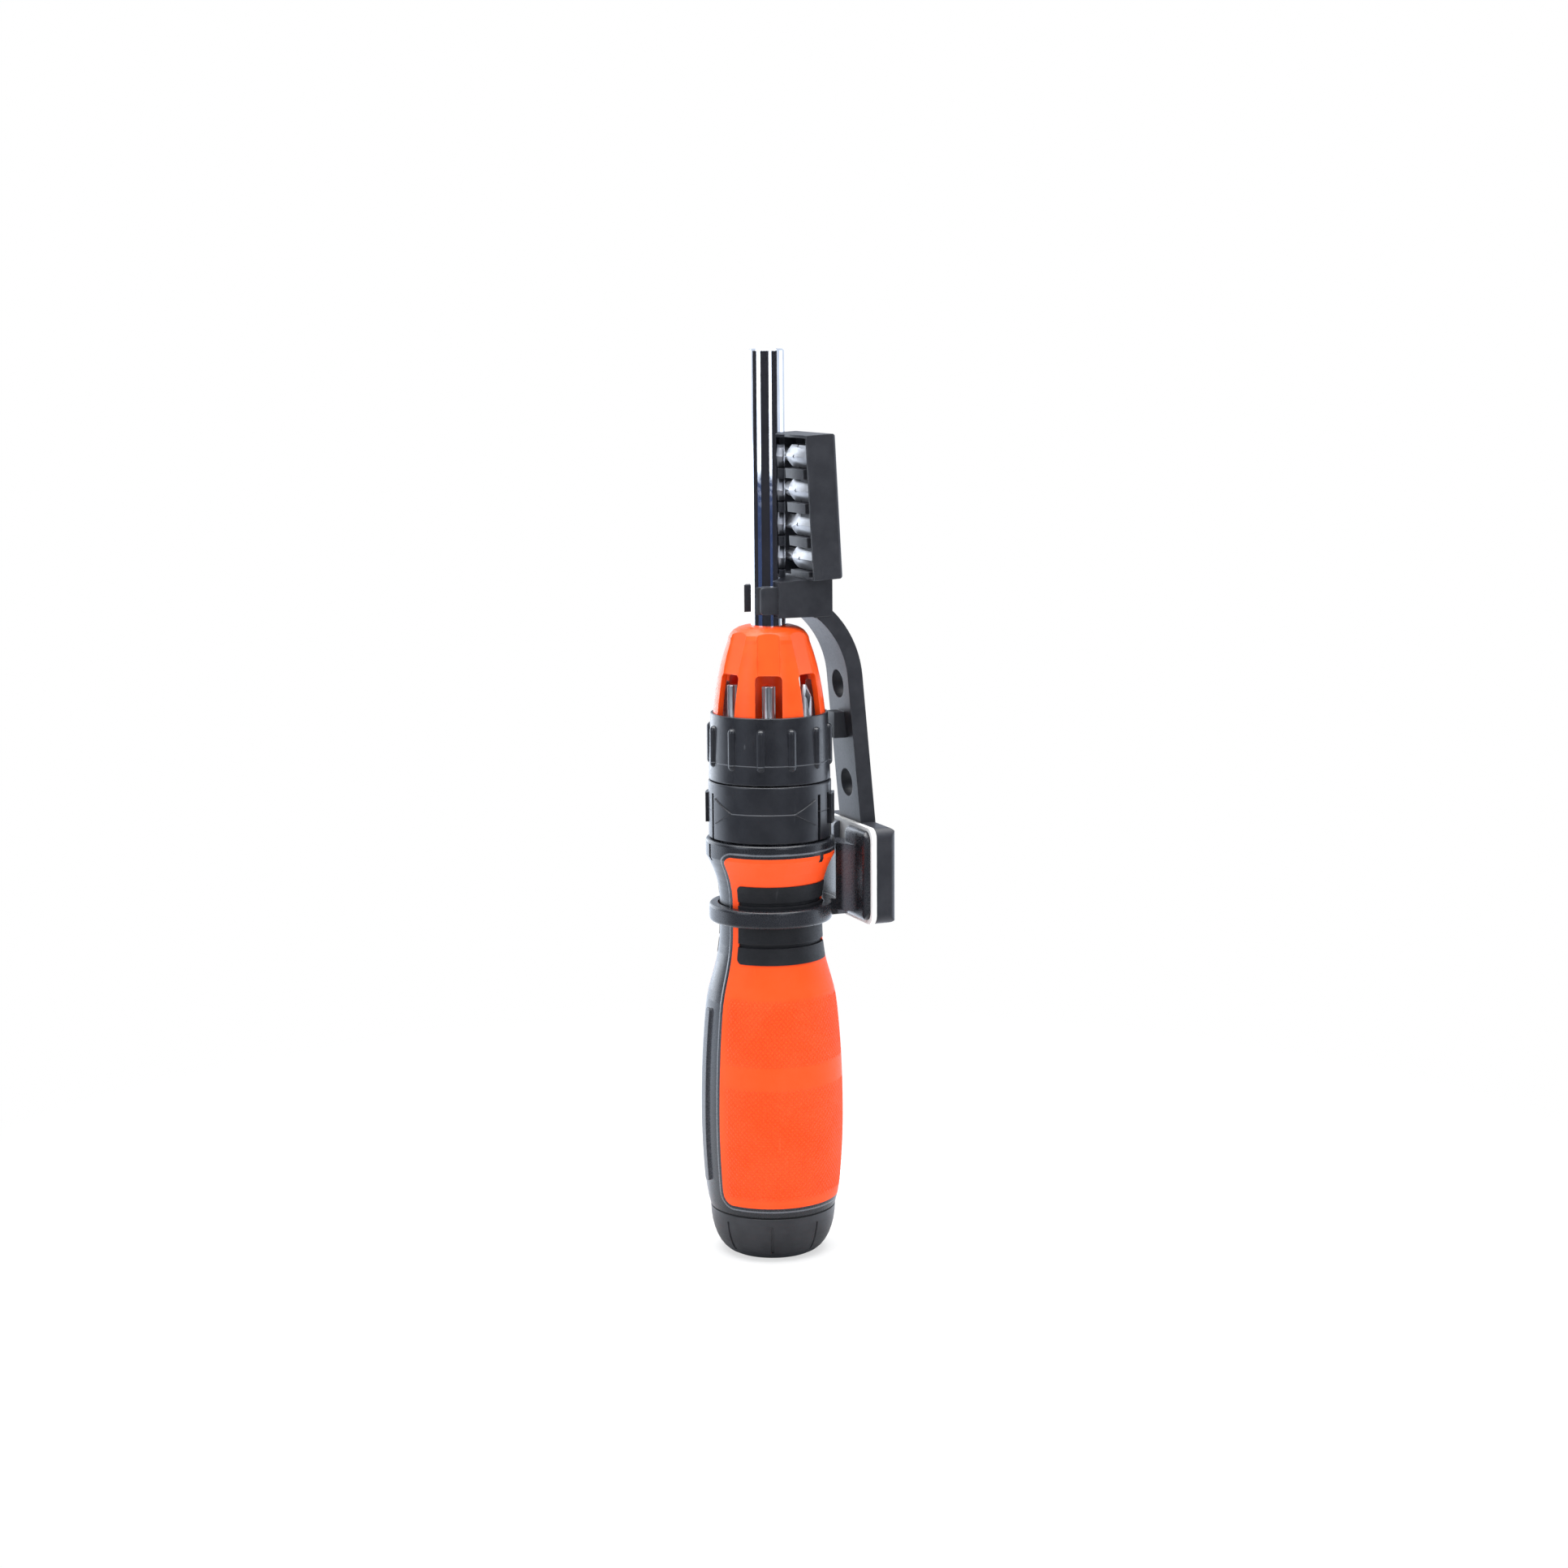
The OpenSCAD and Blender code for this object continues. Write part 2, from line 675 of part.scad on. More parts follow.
module ratchet_housing() {
    window_half = selector_turn + lug_half + 3;
    color(black)
        difference() {
            union() {
                translate([0, 0, stem_z])
                    cylinder(r = stem_r, h = stem_l + over);
                translate([0, 0, handle_top_z])
                    cylinder(r = head_r, h = cover_z - handle_top_z);
            }
            translate([0, 0, stem_z - over])
                cylinder(r = bush_r, h = bush_l + over);
            translate([0, 0, stem_z])
                cylinder(r = shaft_r + slack, h = cover_z);
            translate([0, 0, washer_z])
                cylinder(r = chamber_r, h = cover_z);
            rotate([0, 0, 180])
                sector(shaft_r + over, pocket_r, washer_z, cover_z + over, pocket_half);
            rotate([0, 0, 180])
                sector(pocket_r - slack, head_r + over, detent_z - lug_h / 2 - slack,
                    detent_z + lug_h / 2 + slack, window_half);
            at_pawl_pins()
                translate([0, 0, washer_z - 1])
                    cylinder(r = pin_r, h = 2);
            translate([detent_in, 0, detent_z])
                rotate([0, 90, 0])
                    cylinder(r = detent_hole_r, h = head_r);
        }
}

module ratchet_cover() {
    color(steel)
        difference() {
            translate([0, 0, cover_z])
                cylinder(r = cover_r, h = cover_t);
            translate([0, 0, cover_z - over])
                cylinder(r = bush_r, h = cover_t + 2 * over);
            at_pawl_pins()
                translate([0, 0, cover_z - over])
                    cylinder(r = pin_r, h = 2 * over);
        }
}

module bush(z, l) {
    color(bronze)
        translate([0, 0, z])
            difference() {
                cylinder(r = bush_r, h = l);
                translate([0, 0, -over])
                    cylinder(r = shaft_r + fit, h = l + 2 * over);
            }
}

module lower_bush() {
    bush(stem_z, bush_l);
}

module upper_bush() {
    bush(cover_z, cover_t);
}

module thrust_washer() {
    color(bronze)
        translate([0, 0, washer_z])
            difference() {
                cylinder(r = gear_root_r - slack / 2, h = washer_t);
                translate([0, 0, -over])
                    cylinder(r = shaft_r + slack, h = washer_t + 2 * over);
            }
}

// Symmetrical teeth with a gap facing each multiple of the tooth pitch.
module ratchet_gear() {
    pitch = 360 / gear_teeth;
    tooth = [[0, gear_root_r], [0.4, gear_tip_r], [0.6, gear_tip_r]];
    color(steel)
        translate([0, 0, gear_z])
            linear_extrude(height = gear_h)
                difference() {
                    polygon([
                        for (i = [0 : gear_teeth - 1], k = tooth)
                            k[1] * [cos((i + k[0]) * pitch), sin((i + k[0]) * pitch)]
                    ]);
                    circle(r = shaft_r);
                }
}

// A pawl lies on its pin and points its nose into a tooth gap.
module pawl() {
    pin = pawl_pin_at * [-cos(pawl_pin_deg), sin(pawl_pin_deg)];
    nose = pawl_nose_r * [-cos(pawl_nose_deg), sin(pawl_nose_deg)];
    out = [-cos(pawl_nose_deg), sin(pawl_nose_deg)];
    along = [sin(pawl_nose_deg), cos(pawl_nose_deg)];
    heel = nose + 2.9 * out;
    color(steel)
        translate([0, 0, pawl_z])
            linear_extrude(height = pawl_h)
                difference() {
                    union() {
                        translate(pin)
                            circle(r = pawl_r);
                        polygon([
                            nose,
                            nose + 1.6 * out + 0.5 * along,
                            pin + [pawl_r * 0.8, 0],
                            pin + [-pawl_r * 0.9, 0],
                            heel,
                            nose + 1.6 * out - 0.5 * along
                        ]);
                    }
                    translate(pin)
                        circle(r = pin_r + fit);
                }
}

module forward_pawl() {
    pawl();
}

module reverse_pawl() {
    mirror([0, 1, 0]) pawl();
}

module pawl_pins() {
    color(steel)
        at_pawl_pins()
            translate([0, 0, washer_z - 1])
                cylinder(r = pin_r, h = cover_z + over - washer_z + 1);
}

module pawl_springs() {
    spring_z = pawl_z + pawl_h + fit;
    color(steel)
        at_pawl_pins()
            translate([0, 0, spring_z])
                difference() {
                    cylinder(r = pawl_r, h = cover_z - spring_z);
                    translate([0, 0, -over])
                        cylinder(r = pin_r + ring_gap, h = cover_z);
                }
}

module detent_ball() {
    color(steel)
        translate([ball_at, 0, detent_z])
            sphere(r = ball_r);
}

module detent_spring() {
    wire = 0.4;
    outer = detent_hole_r - fit;
    seat = ball_at - sqrt(pow(ball_r, 2) - pow(outer - wire, 2)) - 0.02;
    color(steel)
        translate([detent_in, 0, detent_z])
            rotate([0, 90, 0])
                difference() {
                    cylinder(r = outer - 0.05, h = seat - detent_in);
                    translate([0, 0, -over])
                        cylinder(r = outer - wire, h = seat);
                }
}

// Selector ring

// A disc with rounded rims, of one radius at its foot and one at its top.
module turned(foot_r, top_r, h, edge) {
    rotate_extrude()
        polygon(concat(
            [[0, 0]],
            [for (a = [90 : -30 : 0]) let (e = rounded_edge(foot_r, 0, edge, a)) [e[0], -e[1]]],
            [for (a = [0 : 30 : 90]) rounded_edge(top_r, h, edge, a)],
            [[0, h]]
        ));
}

module thumb_pad() {
    pad_z = arrow_z - thumb_h / 2;
    sector(selector_r - 0.5, selector_r + thumb_rise, pad_z, pad_z + thumb_h, thumb_half);
}

module ring_slot(turn, z0, z1) {
    rotate([0, 0, turn])
        translate([selector_r - slot_d, -slot_w / 2, z0])
            cube([2 * slot_d + thumb_rise, slot_w, z1 - z0]);
}

module arrow(turn, way) {
    intersection() {
        rotate([0, 0, turn])
            translate([head_r, 0, arrow_z])
                rotate([90, 0, 90])
                    linear_extrude(height = selector_r)
                        polygon([
                            [-way * arrow_l / 2, arrow_h / 2],
                            [way * arrow_l / 2, 0],
                            [-way * arrow_l / 2, -arrow_h / 2]
                        ]);
        translate([0, 0, selector_z])
            cylinder(r = selector_r + arrow_rise, h = selector_h);
    }
}

module selector_ring() {
    slot_top = arrow_z + thumb_h / 2 + slot_w / 2;
    shoulder_top = cover_z - ring_gap;
    arrow_deg = border_deg + arrow_gap + asin(arrow_l / 2 / selector_r);
    color(black)
        difference() {
            union() {
                translate([0, 0, selector_z])
                    turned(selector_r, selector_r, selector_h, ring_round);
                for (side = [0, 180]) {
                    rotate([0, 0, thumb_deg + side]) {
                        thumb_pad();
                        arrow(-arrow_deg, -1);
                        arrow(arrow_deg, 1);
                    }
                }
            }
            difference() {
                translate([0, 0, selector_z - over])
                    cylinder(r = head_r + fit, h = selector_h + 2 * over);
                rotate([0, 0, 180])
                    sector(lug_in, head_r + over, detent_z - lug_h / 2, detent_z + lug_h / 2, lug_half);
            }
            translate([0, 0, shoulder_top])
                cylinder(r = cover_r + ring_gap, h = selector_h);
            sector(head_r - over, head_r + fit + slack, detent_z - ball_r, detent_z + ball_r,
                selector_turn + 12);
            for (side = [0, 180], half = [-1, 1]) {
                ring_slot(thumb_deg + side + half * border_deg, selector_z - over, slot_top);
                ring_slot(thumb_deg + side + half * (thumb_half + 1.2), arrow_z - thumb_h / 2, slot_top);
            }
        }
}

// Shaft and magazine

module shaft() {
    color(steel)
        difference() {
            rotate_extrude()
                polygon([
                    [0, shaft_foot_z],
                    [shaft_r - shaft_chamfer, shaft_foot_z],
                    [shaft_r - groove_depth, clip_ring_z],
                    [shaft_r - groove_depth, clip_ring_z + clip_ring_h],
                    [shaft_r, clip_ring_z + clip_ring_h],
                    [shaft_r, shaft_top_z - shaft_chamfer],
                    [shaft_r - shaft_chamfer, shaft_top_z],
                    [0, shaft_top_z]
                ]);
            translate([0, 0, socket_z])
                cylinder(d = (bit_flats + 2 * bit_clear) / cos(30), h = socket_d + over, $fn = 6);
            translate([0, 0, socket_z - magnet_l])
                cylinder(r = magnet_r, h = magnet_l + over);
        }
}

module shaft_clip_ring() {
    color(steel)
        translate([0, 0, clip_ring_z])
            difference() {
                cylinder(r = bush_r - ring_gap, h = clip_ring_h);
                translate([0, 0, -over])
                    cylinder(r = shaft_r - groove_depth, h = clip_ring_h + 2 * over);
                translate([0, -clip_ring_mouth / 2, -over])
                    cube([bush_r, clip_ring_mouth, clip_ring_h + 2 * over]);
            }
}

module bit_magnet() {
    color(steel)
        translate([0, 0, socket_z - magnet_l])
            cylinder(r = magnet_r, h = magnet_l);
}

module at_bits() {
    for (i = [0 : bit_count - 1])
        rotate([0, 0, bit_first_deg + i * 360 / bit_count])
            translate([bit_at, 0, 0])
                children();
}

module hex_prism(flats, h) {
    rotate([0, 0, 30])
        cylinder(d = flats / cos(30), h = h, $fn = 6);
}

// A bit's hexagonal shank, turned to a chamfer at both ends.
module shank_body(shank, neck_r) {
    foot_r = bit_flats / 2 - bit_chamfer;
    corner_r = bit_flats / sqrt(3) + bit_clear;
    intersection() {
        hex_prism(bit_flats, shank);
        rotate_extrude()
            polygon([
                [0, 0],
                [foot_r, 0],
                [corner_r, corner_r - foot_r],
                [corner_r, shank - 2 * (corner_r - neck_r)],
                [neck_r, shank],
                [0, shank]
            ]);
    }
}

// A bit: chamfered shank, tapered neck and a four-fluted driving end.
module bit(shank) {
    neck_r = bit_flats / 2 - bit_clear;
    neck_l = 2;
    flute_r = bit_tip_r * 0.4;
    difference() {
        union() {
            shank_body(shank, neck_r);
            rotate_extrude()
                polygon([
                    [0, shank - over],
                    [bit_tip_r, shank - over],
                    [neck_r, shank],
                    [bit_tip_r, shank + neck_l],
                    [bit_tip_r, bit_l],
                    [0, bit_l]
                ]);
        }
        for (turn = [45 : 90 : 315])
            rotate([0, 0, turn])
                translate([bit_tip_r, 0, shank + neck_l + over])
                    cylinder(r = flute_r, h = bit_l);
    }
}

module bit_magazine() {
    color(black)
        difference() {
            union() {
                translate([0, 0, collar_z])
                    turned(collar_r, collar_top_r, collar_h, min(ring_round, rim_t / 2));
                for (i = [0 : rib_count - 1])
                    rotate([0, 0, i * 360 / rib_count])
                        translate([rib_at, 0, collar_z + rib_low])
                            turned(rib_r, rib_r, rib_l, rib_end_round);
            }
            translate([0, 0, rim_z - rim_d])
                cylinder(r = rim_in_r, h = rim_d + over);
            translate([0, 0, collar_z - over])
                cylinder(r = shaft_r, h = collar_h + 2 * over);
            translate([0, 0, bit_z])
                at_bits()
                    hex_prism(bit_flats + 2 * bit_clear, collar_h);
        }
}

module magazine_bits() {
    color(steel)
        translate([0, 0, bit_z])
            at_bits()
                bit(bit_shank);
}

// A window's outline: square below, with rounded upper corners.
module window_outline(h) {
    flat = window_w / 2 - window_corner_r;
    translate([-window_w / 2, 0])
        square([window_w, h - window_corner_r]);
    translate([-flat, 0])
        square([2 * flat, h]);
    for (side = [-flat, flat])
        translate([side, h - window_corner_r])
            circle(r = window_corner_r);
}

// A flute's section: flat floor at x = 0 and sides that slope out past the cone's surface.
module flute_outline() {
    floor_w = flute_w / 2;
    top_w = floor_w + 3 * flute_flare;
    polygon([[0, -floor_w], [3 * flute_d, -top_w], [3 * flute_d, top_w], [0, floor_w]]);
}

module nose_cone() {
    top_at = cone_h - cone_crown_h;
    steps = 6;
    side = [for (i = [0 : steps]) let (z = top_at * i / steps) [curve(cone_stations, z), z]];
    inside = [for (i = [0 : steps]) let (z = cavity_top * i / steps) [curve(cone_stations, z) - cone_t, z]];
    crown = [for (a = [15 : 15 : 90])
        [cone_shoulder_r + cone_crown_w * (cos(a) - 1), top_at + cone_crown_h * sin(a)]];
    bore = shaft_r + fit;
    sleeve_low = sleeve_z - rim_z;
    color(orange)
        translate([0, 0, rim_z])
            difference() {
                rotate_extrude()
                    polygon(concat(
                        [[cone_skirt_r, -cone_skirt]],
                        side,
                        crown,
                        [[bore, cone_h], [bore, sleeve_low], [sleeve_r, sleeve_low], [sleeve_r, cavity_top]],
                        reversed(inside),
                        [[cone_skirt_r - cone_t, -cone_skirt]]
                    ));
                for (i = [0 : bit_count - 1])
                    rotate([0, 0, bit_first_deg + i * 360 / bit_count]) {
                        translate([sleeve_r + over, 0, -cone_skirt - over])
                            rotate([90, 0, 90])
                                linear_extrude(height = cone_base_r)
                                    window_outline(window_h + cone_skirt + over);
                        translate([cone_mid_r - flute_d, 0, window_h])
                            rotate([0, -flute_slope, 0])
                                translate([0, 0, -window_corner_r - over])
                                    linear_extrude(height = cone_h)
                                        flute_outline();
                    }
            }
}

// Carrier

// Draws an outline given in Y and Z as a plate whose inner face is at x.
module plate(x, t) {
    translate([x, 0, 0])
        rotate([90, 0, 90])
            linear_extrude(height = t)
                children();
}

module rounded(half_w, z0, z1, r) {
    translate([-half_w, z0 + r])
        square([2 * half_w, z1 - z0 - 2 * r]);
    translate([-half_w + r, z0])
        square([2 * half_w - 2 * r, z1 - z0]);
    for (y = [-half_w + r, half_w - r], z = [z0 + r, z1 - r])
        translate([y, z])
            circle(r = r);
}

// What is cut from an edge along +Z to round it. The piece lies on the -X and -Y side of the edge.
module edge_cut(r, l) {
    translate([-r, -r, 0])
        difference() {
            cube([r + over, r + over, l]);
            translate([0, 0, -over])
                cylinder(r = r * corner_ease, h = l + 2 * over);
        }
}

// What is cut to round the four edges of a face at x that looks along +X.
module face_edges(x, half_w, z0, z1, r) {
    l = 2 * half_w + 2 * over;
    for (up = [0, 1])
        translate([x, l / 2, up == 1 ? z1 : z0])
            mirror([0, 0, 1 - up])
                rotate([90, 0, 0])
                    edge_cut(r, l);
    for (side = [0, 1])
        mirror([0, side, 0])
            translate([x, half_w, z0 - over])
                edge_cut(r, z1 - z0 + 2 * over);
}

module at_bend() {
    translate([spine_bend_x, 0, spine_bend_z])
        rotate([0, -spine_lean, 0])
            children();
}

module at_pegs() {
    for (side = [-1, 1])
        translate([card_x - over, side * block_half_w / 2, block_z + block_h / 2])
            rotate([0, 90, 0])
                children();
}

module in_rack() {
    translate([rack_foot_x, 0, rack_z])
        rotate([0, -rack_lean, 0])
            children();
}

module rack_tongue() {
    in_rack()
        translate([rack_back, -spine_w / 4, -tongue_l])
            cube([rack_depth / 2, spine_w / 2, tongue_l + over]);
}

module carrier_spine() {
    inner_r = spine_bend_r - spine_t;
    foot_l = spine_straight + block_corner_r;
    color(black)
        difference() {
            union() {
                at_bend()
                    rotate([90, 0, 0])
                        translate([0, 0, -spine_w / 2])
                            rotate_extrude(angle = spine_bend)
                                translate([inner_r, 0])
                                    square([spine_t, spine_w]);
                at_bend()
                    translate([inner_r, -spine_w / 2, -foot_l])
                        cube([spine_t, spine_w, foot_l]);
                difference() {
                    plate(block_x, block_t)
                        rounded(block_half_w, block_z, block_top_z, block_corner_r);
                    face_edges(block_x + block_t, block_half_w, block_z, block_top_z, block_round);
                }
                translate([0, -spine_w / 2 - clip_body_side, clip_body_z])
                    cube([clip_body_x, spine_w + 2 * clip_body_side, clip_body_h + rack_depth]);
                translate([0, 0, clip_z])
                    shaft_clip();
                translate([swing_r, -rest_half_w, rim_z - rest_drop - rest_h])
                    cube([spine_foot_x - spine_t - swing_r, 2 * rest_half_w, rest_h]);
            }
            in_rack()
                translate([-rack_foot_x - over, -spine_w, 0])
                    cube([2 * spine_foot_x, 2 * spine_w, 2 * rack_depth]);
            rack_tongue();
            translate([0, 0, clip_body_z - over])
                cylinder(r = clip_r, h = 2 * clip_body_h);
            translate([-shaft_r - clip_t - over, -clip_mouth, clip_body_z - over])
                cube([shaft_r + clip_t + over, 2 * clip_mouth, 2 * clip_body_h]);
            at_bend()
                for (up = [0, 1])
                    translate([inner_r - over, 0, -spine_straight + spine_hole_low + up * spine_hole_pitch])
                        rotate([0, 90, 0])
                            cylinder(r = spine_hole_r, h = spine_t + 2 * over);
            at_pegs()
                cylinder(r = peg_r, h = card_t + over + block_t / 2);
        }
}

// The part of the clip that reaches round the shaft, before its bore and mouth are cut.
module shaft_clip() {
    outer = clip_r + clip_t;
    cylinder(r = outer, h = clip_h);
    difference() {
        translate([-clip_reach, -outer, 0])
            cube([clip_reach, 2 * outer, clip_h]);
        mirror([1, 0, 0])
            face_edges(clip_reach, outer, 0, clip_h, clip_round);
    }
}

module bit_rack() {
    wall_at = rack_half - rack_wall;
    color(black)
        union() {
            in_rack()
                difference() {
                    translate([0, -rack_half, 0])
                        cube([rack_depth, 2 * rack_half, rack_h]);
                    translate([-over, -wall_at, rack_wall])
                        cube([rack_depth - rack_back + over, 2 * wall_at, rack_h - 2 * rack_wall]);
                    face_edges(rack_depth, rack_half, 0, rack_h, rack_round);
                }
            in_rack()
                for (i = [0 : rack_count - 1]) {
                    top = rack_low + (i - 0.5) * rack_pitch + tab_h / 2;
                    low = max(0, top - tab_h);
                    translate([0, tab_in - wall_at, low])
                        cube([rack_depth - rack_back / 2, tab_l, top - low]);
                }
            rack_tongue();
        }
}

module rack_bits() {
    color(steel)
        in_rack()
            for (i = [0 : rack_count - 1])
                translate([rack_bit_x, -bit_l / 2, rack_low + i * rack_pitch])
                    rotate([-90, 0, 0])
                        rotate([0, 0, 30])
                            bit(rack_bit_shank);
}

module label_card() {
    color(card_white)
        difference() {
            plate(card_x, card_t)
                rounded(block_half_w, block_z, block_top_z, block_corner_r);
            at_pegs()
                cylinder(r = peg_r, h = 3 * card_t + over);
        }
}

// The hollow round in the corner between the web's side and the plate.
module cove(z0, z1) {
    translate([plate_x - cove_r, web_half_w, z0])
        difference() {
            translate([0, -web_half_w / 2, 0])
                cube([cove_r + plate_t / 2, cove_r + web_half_w / 2, z1 - z0]);
            translate([0, cove_r, -over])
                cylinder(r = cove_r * corner_ease, h = z1 - z0 + 2 * over);
        }
}

module neck_strap() {
    plate_z = block_z + plate_inset;
    plate_top_z = block_top_z - plate_inset;
    plate_half_w = block_half_w - plate_inset;
    web_top_z = plate_top_z - web_drop;
    color(black)
        union() {
            translate([0, 0, strap_low_z])
                difference() {
                    turned(strap_r + strap_t, strap_r + strap_t, strap_h, strap_round);
                    translate([0, 0, -over])
                        cylinder(r = strap_r, h = strap_h + 2 * over);
                }
            difference() {
                plate(plate_x, plate_t)
                    rounded(plate_half_w, plate_z, plate_top_z, block_corner_r);
                mirror([1, 0, 0])
                    face_edges(-plate_x, plate_half_w, plate_z, plate_top_z, plate_round);
                translate([plate_x - over, -notch_half_w, web_top_z])
                    cube([plate_t + 2 * over, 2 * notch_half_w, block_h]);
            }
            difference() {
                union() {
                    translate([strap_r + strap_t / 2, -web_half_w, strap_low_z])
                        cube([plate_x - strap_r, 2 * web_half_w, web_top_z - strap_low_z]);
                    for (side = [0, 1])
                        mirror([0, side, 0])
                            cove(plate_z + plate_round, web_top_z);
                }
                translate([0, 0, strap_low_z - over])
                    cylinder(r = strap_r + strap_t / 2, h = block_h);
                translate([0, 0, strap_low_z + strap_h])
                    cylinder(r = swing_r, h = block_h);
            }
            at_pegs()
                cylinder(r = peg_r, h = card_t + over + block_t / 2);
        }
}

handle_core();
front_grip();
rear_grip();
front_neck_pad();
rear_neck_pad();
end_cap();
ratchet_housing();
ratchet_cover();
lower_bush();
upper_bush();
thrust_washer();
ratchet_gear();
forward_pawl();
reverse_pawl();
pawl_pins();
pawl_springs();
detent_ball();
detent_spring();
selector_ring();
shaft();
shaft_clip_ring();
bit_magnet();
bit_magazine();
magazine_bits();
nose_cone();
carrier_spine();
bit_rack();
rack_bits();
label_card();
neck_strap();
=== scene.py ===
import bpy
import json
import math
from mathutils import Matrix, Vector

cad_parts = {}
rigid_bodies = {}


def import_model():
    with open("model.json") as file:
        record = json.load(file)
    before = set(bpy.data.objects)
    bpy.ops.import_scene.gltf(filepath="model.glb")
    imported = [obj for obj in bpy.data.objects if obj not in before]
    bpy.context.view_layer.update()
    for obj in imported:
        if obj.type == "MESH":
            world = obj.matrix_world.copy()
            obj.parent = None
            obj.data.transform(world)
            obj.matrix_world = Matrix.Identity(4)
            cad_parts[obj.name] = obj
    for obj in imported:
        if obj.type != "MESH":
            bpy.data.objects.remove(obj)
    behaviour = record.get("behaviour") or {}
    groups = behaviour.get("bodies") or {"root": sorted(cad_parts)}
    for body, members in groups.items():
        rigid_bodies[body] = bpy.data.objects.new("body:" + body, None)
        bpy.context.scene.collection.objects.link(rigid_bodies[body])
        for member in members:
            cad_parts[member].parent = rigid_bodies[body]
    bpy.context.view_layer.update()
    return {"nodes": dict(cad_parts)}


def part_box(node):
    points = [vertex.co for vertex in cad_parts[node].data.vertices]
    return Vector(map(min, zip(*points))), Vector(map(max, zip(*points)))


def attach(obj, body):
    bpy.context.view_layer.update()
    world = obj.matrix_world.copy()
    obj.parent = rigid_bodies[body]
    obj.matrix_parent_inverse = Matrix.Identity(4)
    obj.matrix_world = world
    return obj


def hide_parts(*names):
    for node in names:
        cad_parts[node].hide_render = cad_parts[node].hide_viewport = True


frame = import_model()
nodes = frame["nodes"]
mm = 0.001
print("frame loaded with", len(nodes), "CAD nodes")


def deselectAll():
    if bpy.context.object and bpy.context.object.mode != "OBJECT":
        bpy.ops.object.mode_set(mode="OBJECT")
    bpy.ops.object.select_all(action="DESELECT")


# helpers for node trees: a value is a number, a colour, a vector or another node's socket

def feed(tree, socket, value):
    if isinstance(value, bpy.types.NodeSocket):
        tree.links.new(value, socket)
    elif isinstance(value, tuple):
        socket.default_value = (*value, 1)
    else:
        socket.default_value = value


def calc(tree, operation, *values):
    node = tree.nodes.new("ShaderNodeMath")
    node.operation = operation
    for socket, value in zip(node.inputs, values):
        feed(tree, socket, value)
    return node.outputs[0]


def vectorCalc(tree, operation, *values):
    node = tree.nodes.new("ShaderNodeVectorMath")
    node.operation = operation
    for socket, value in zip(node.inputs, values):
        feed(tree, socket, value)
    return node.outputs["Value"]


def sumOfSquares(tree, first, second):
    return calc(tree, "ADD", calc(tree, "MULTIPLY", first, first), calc(tree, "MULTIPLY", second, second))


def ramp(tree, value, low, high, start=0.0, end=1.0, smooth=True):
    node = tree.nodes.new("ShaderNodeMapRange")
    node.interpolation_type = "SMOOTHSTEP" if smooth else "LINEAR"
    for socket, part in zip(node.inputs, (value, low, high, start, end)):
        feed(tree, socket, part)
    return node.outputs["Result"]


def noise(tree, coords, scale, detail=3.0, roughness=0.55):
    node = tree.nodes.new("ShaderNodeTexNoise")
    for label, value in (("Vector", coords), ("Scale", scale), ("Detail", detail), ("Roughness", roughness)):
        feed(tree, node.inputs[label], value)
    return node.outputs["Fac"]


def objectPlace(tree):
    return tree.nodes.new("ShaderNodeTexCoord").outputs["Object"]


def placeInMm(tree):
    split = tree.nodes.new("ShaderNodeSeparateXYZ")
    tree.links.new(objectPlace(tree), split.inputs[0])
    return [calc(tree, "MULTIPLY", part, 1 / mm) for part in split.outputs]


def blendColour(tree, factor, first, second):
    node = tree.nodes.new("ShaderNodeMix")
    node.data_type = "RGBA"
    for socket, value in ((node.inputs["Factor"], factor), (node.inputs[6], first), (node.inputs[7], second)):
        feed(tree, socket, value)
    return node.outputs[2]


def mixShader(tree, factor, first, second):
    node = tree.nodes.new("ShaderNodeMixShader")
    for socket, value in zip(node.inputs, (factor, first, second)):
        tree.links.new(value, socket)
    return node.outputs[0]


# camera and studio

shot = {
    "lens": 66.02, "sensor": 36.0, "distance": 824 * mm, "aimHeight": 137.3 * mm,
    "azimuth": -22.0, "pitch": 9.0, "roll": 0.42, "aimRight": 4.1 * mm,
    "clip": (0.01, 50),
}


def viewDirections():
    a, e = math.radians(shot["azimuth"]), math.radians(shot["pitch"])
    back = Vector((math.sin(a) * math.cos(e), -math.cos(a) * math.cos(e), math.sin(e)))
    right = Vector((math.cos(a), math.sin(a), 0))
    return back, right


def makeCamera():
    back, right = viewDirections()
    aim = Vector((0, 0, shot["aimHeight"])) + right * shot["aimRight"]
    deselectAll()
    bpy.ops.object.camera_add(location=aim + back * shot["distance"])
    camera = bpy.context.object
    camera.name = "photoCamera"
    camera.data.lens = shot["lens"]
    camera.data.sensor_width = shot["sensor"]
    camera.data.clip_start, camera.data.clip_end = shot["clip"]
    turn = (-back).to_track_quat("-Z", "Y").to_matrix()
    turn = turn @ Matrix.Rotation(math.radians(-shot["roll"]), 3, "Z")
    camera.rotation_euler = turn.to_euler()
    bpy.context.scene.camera = camera


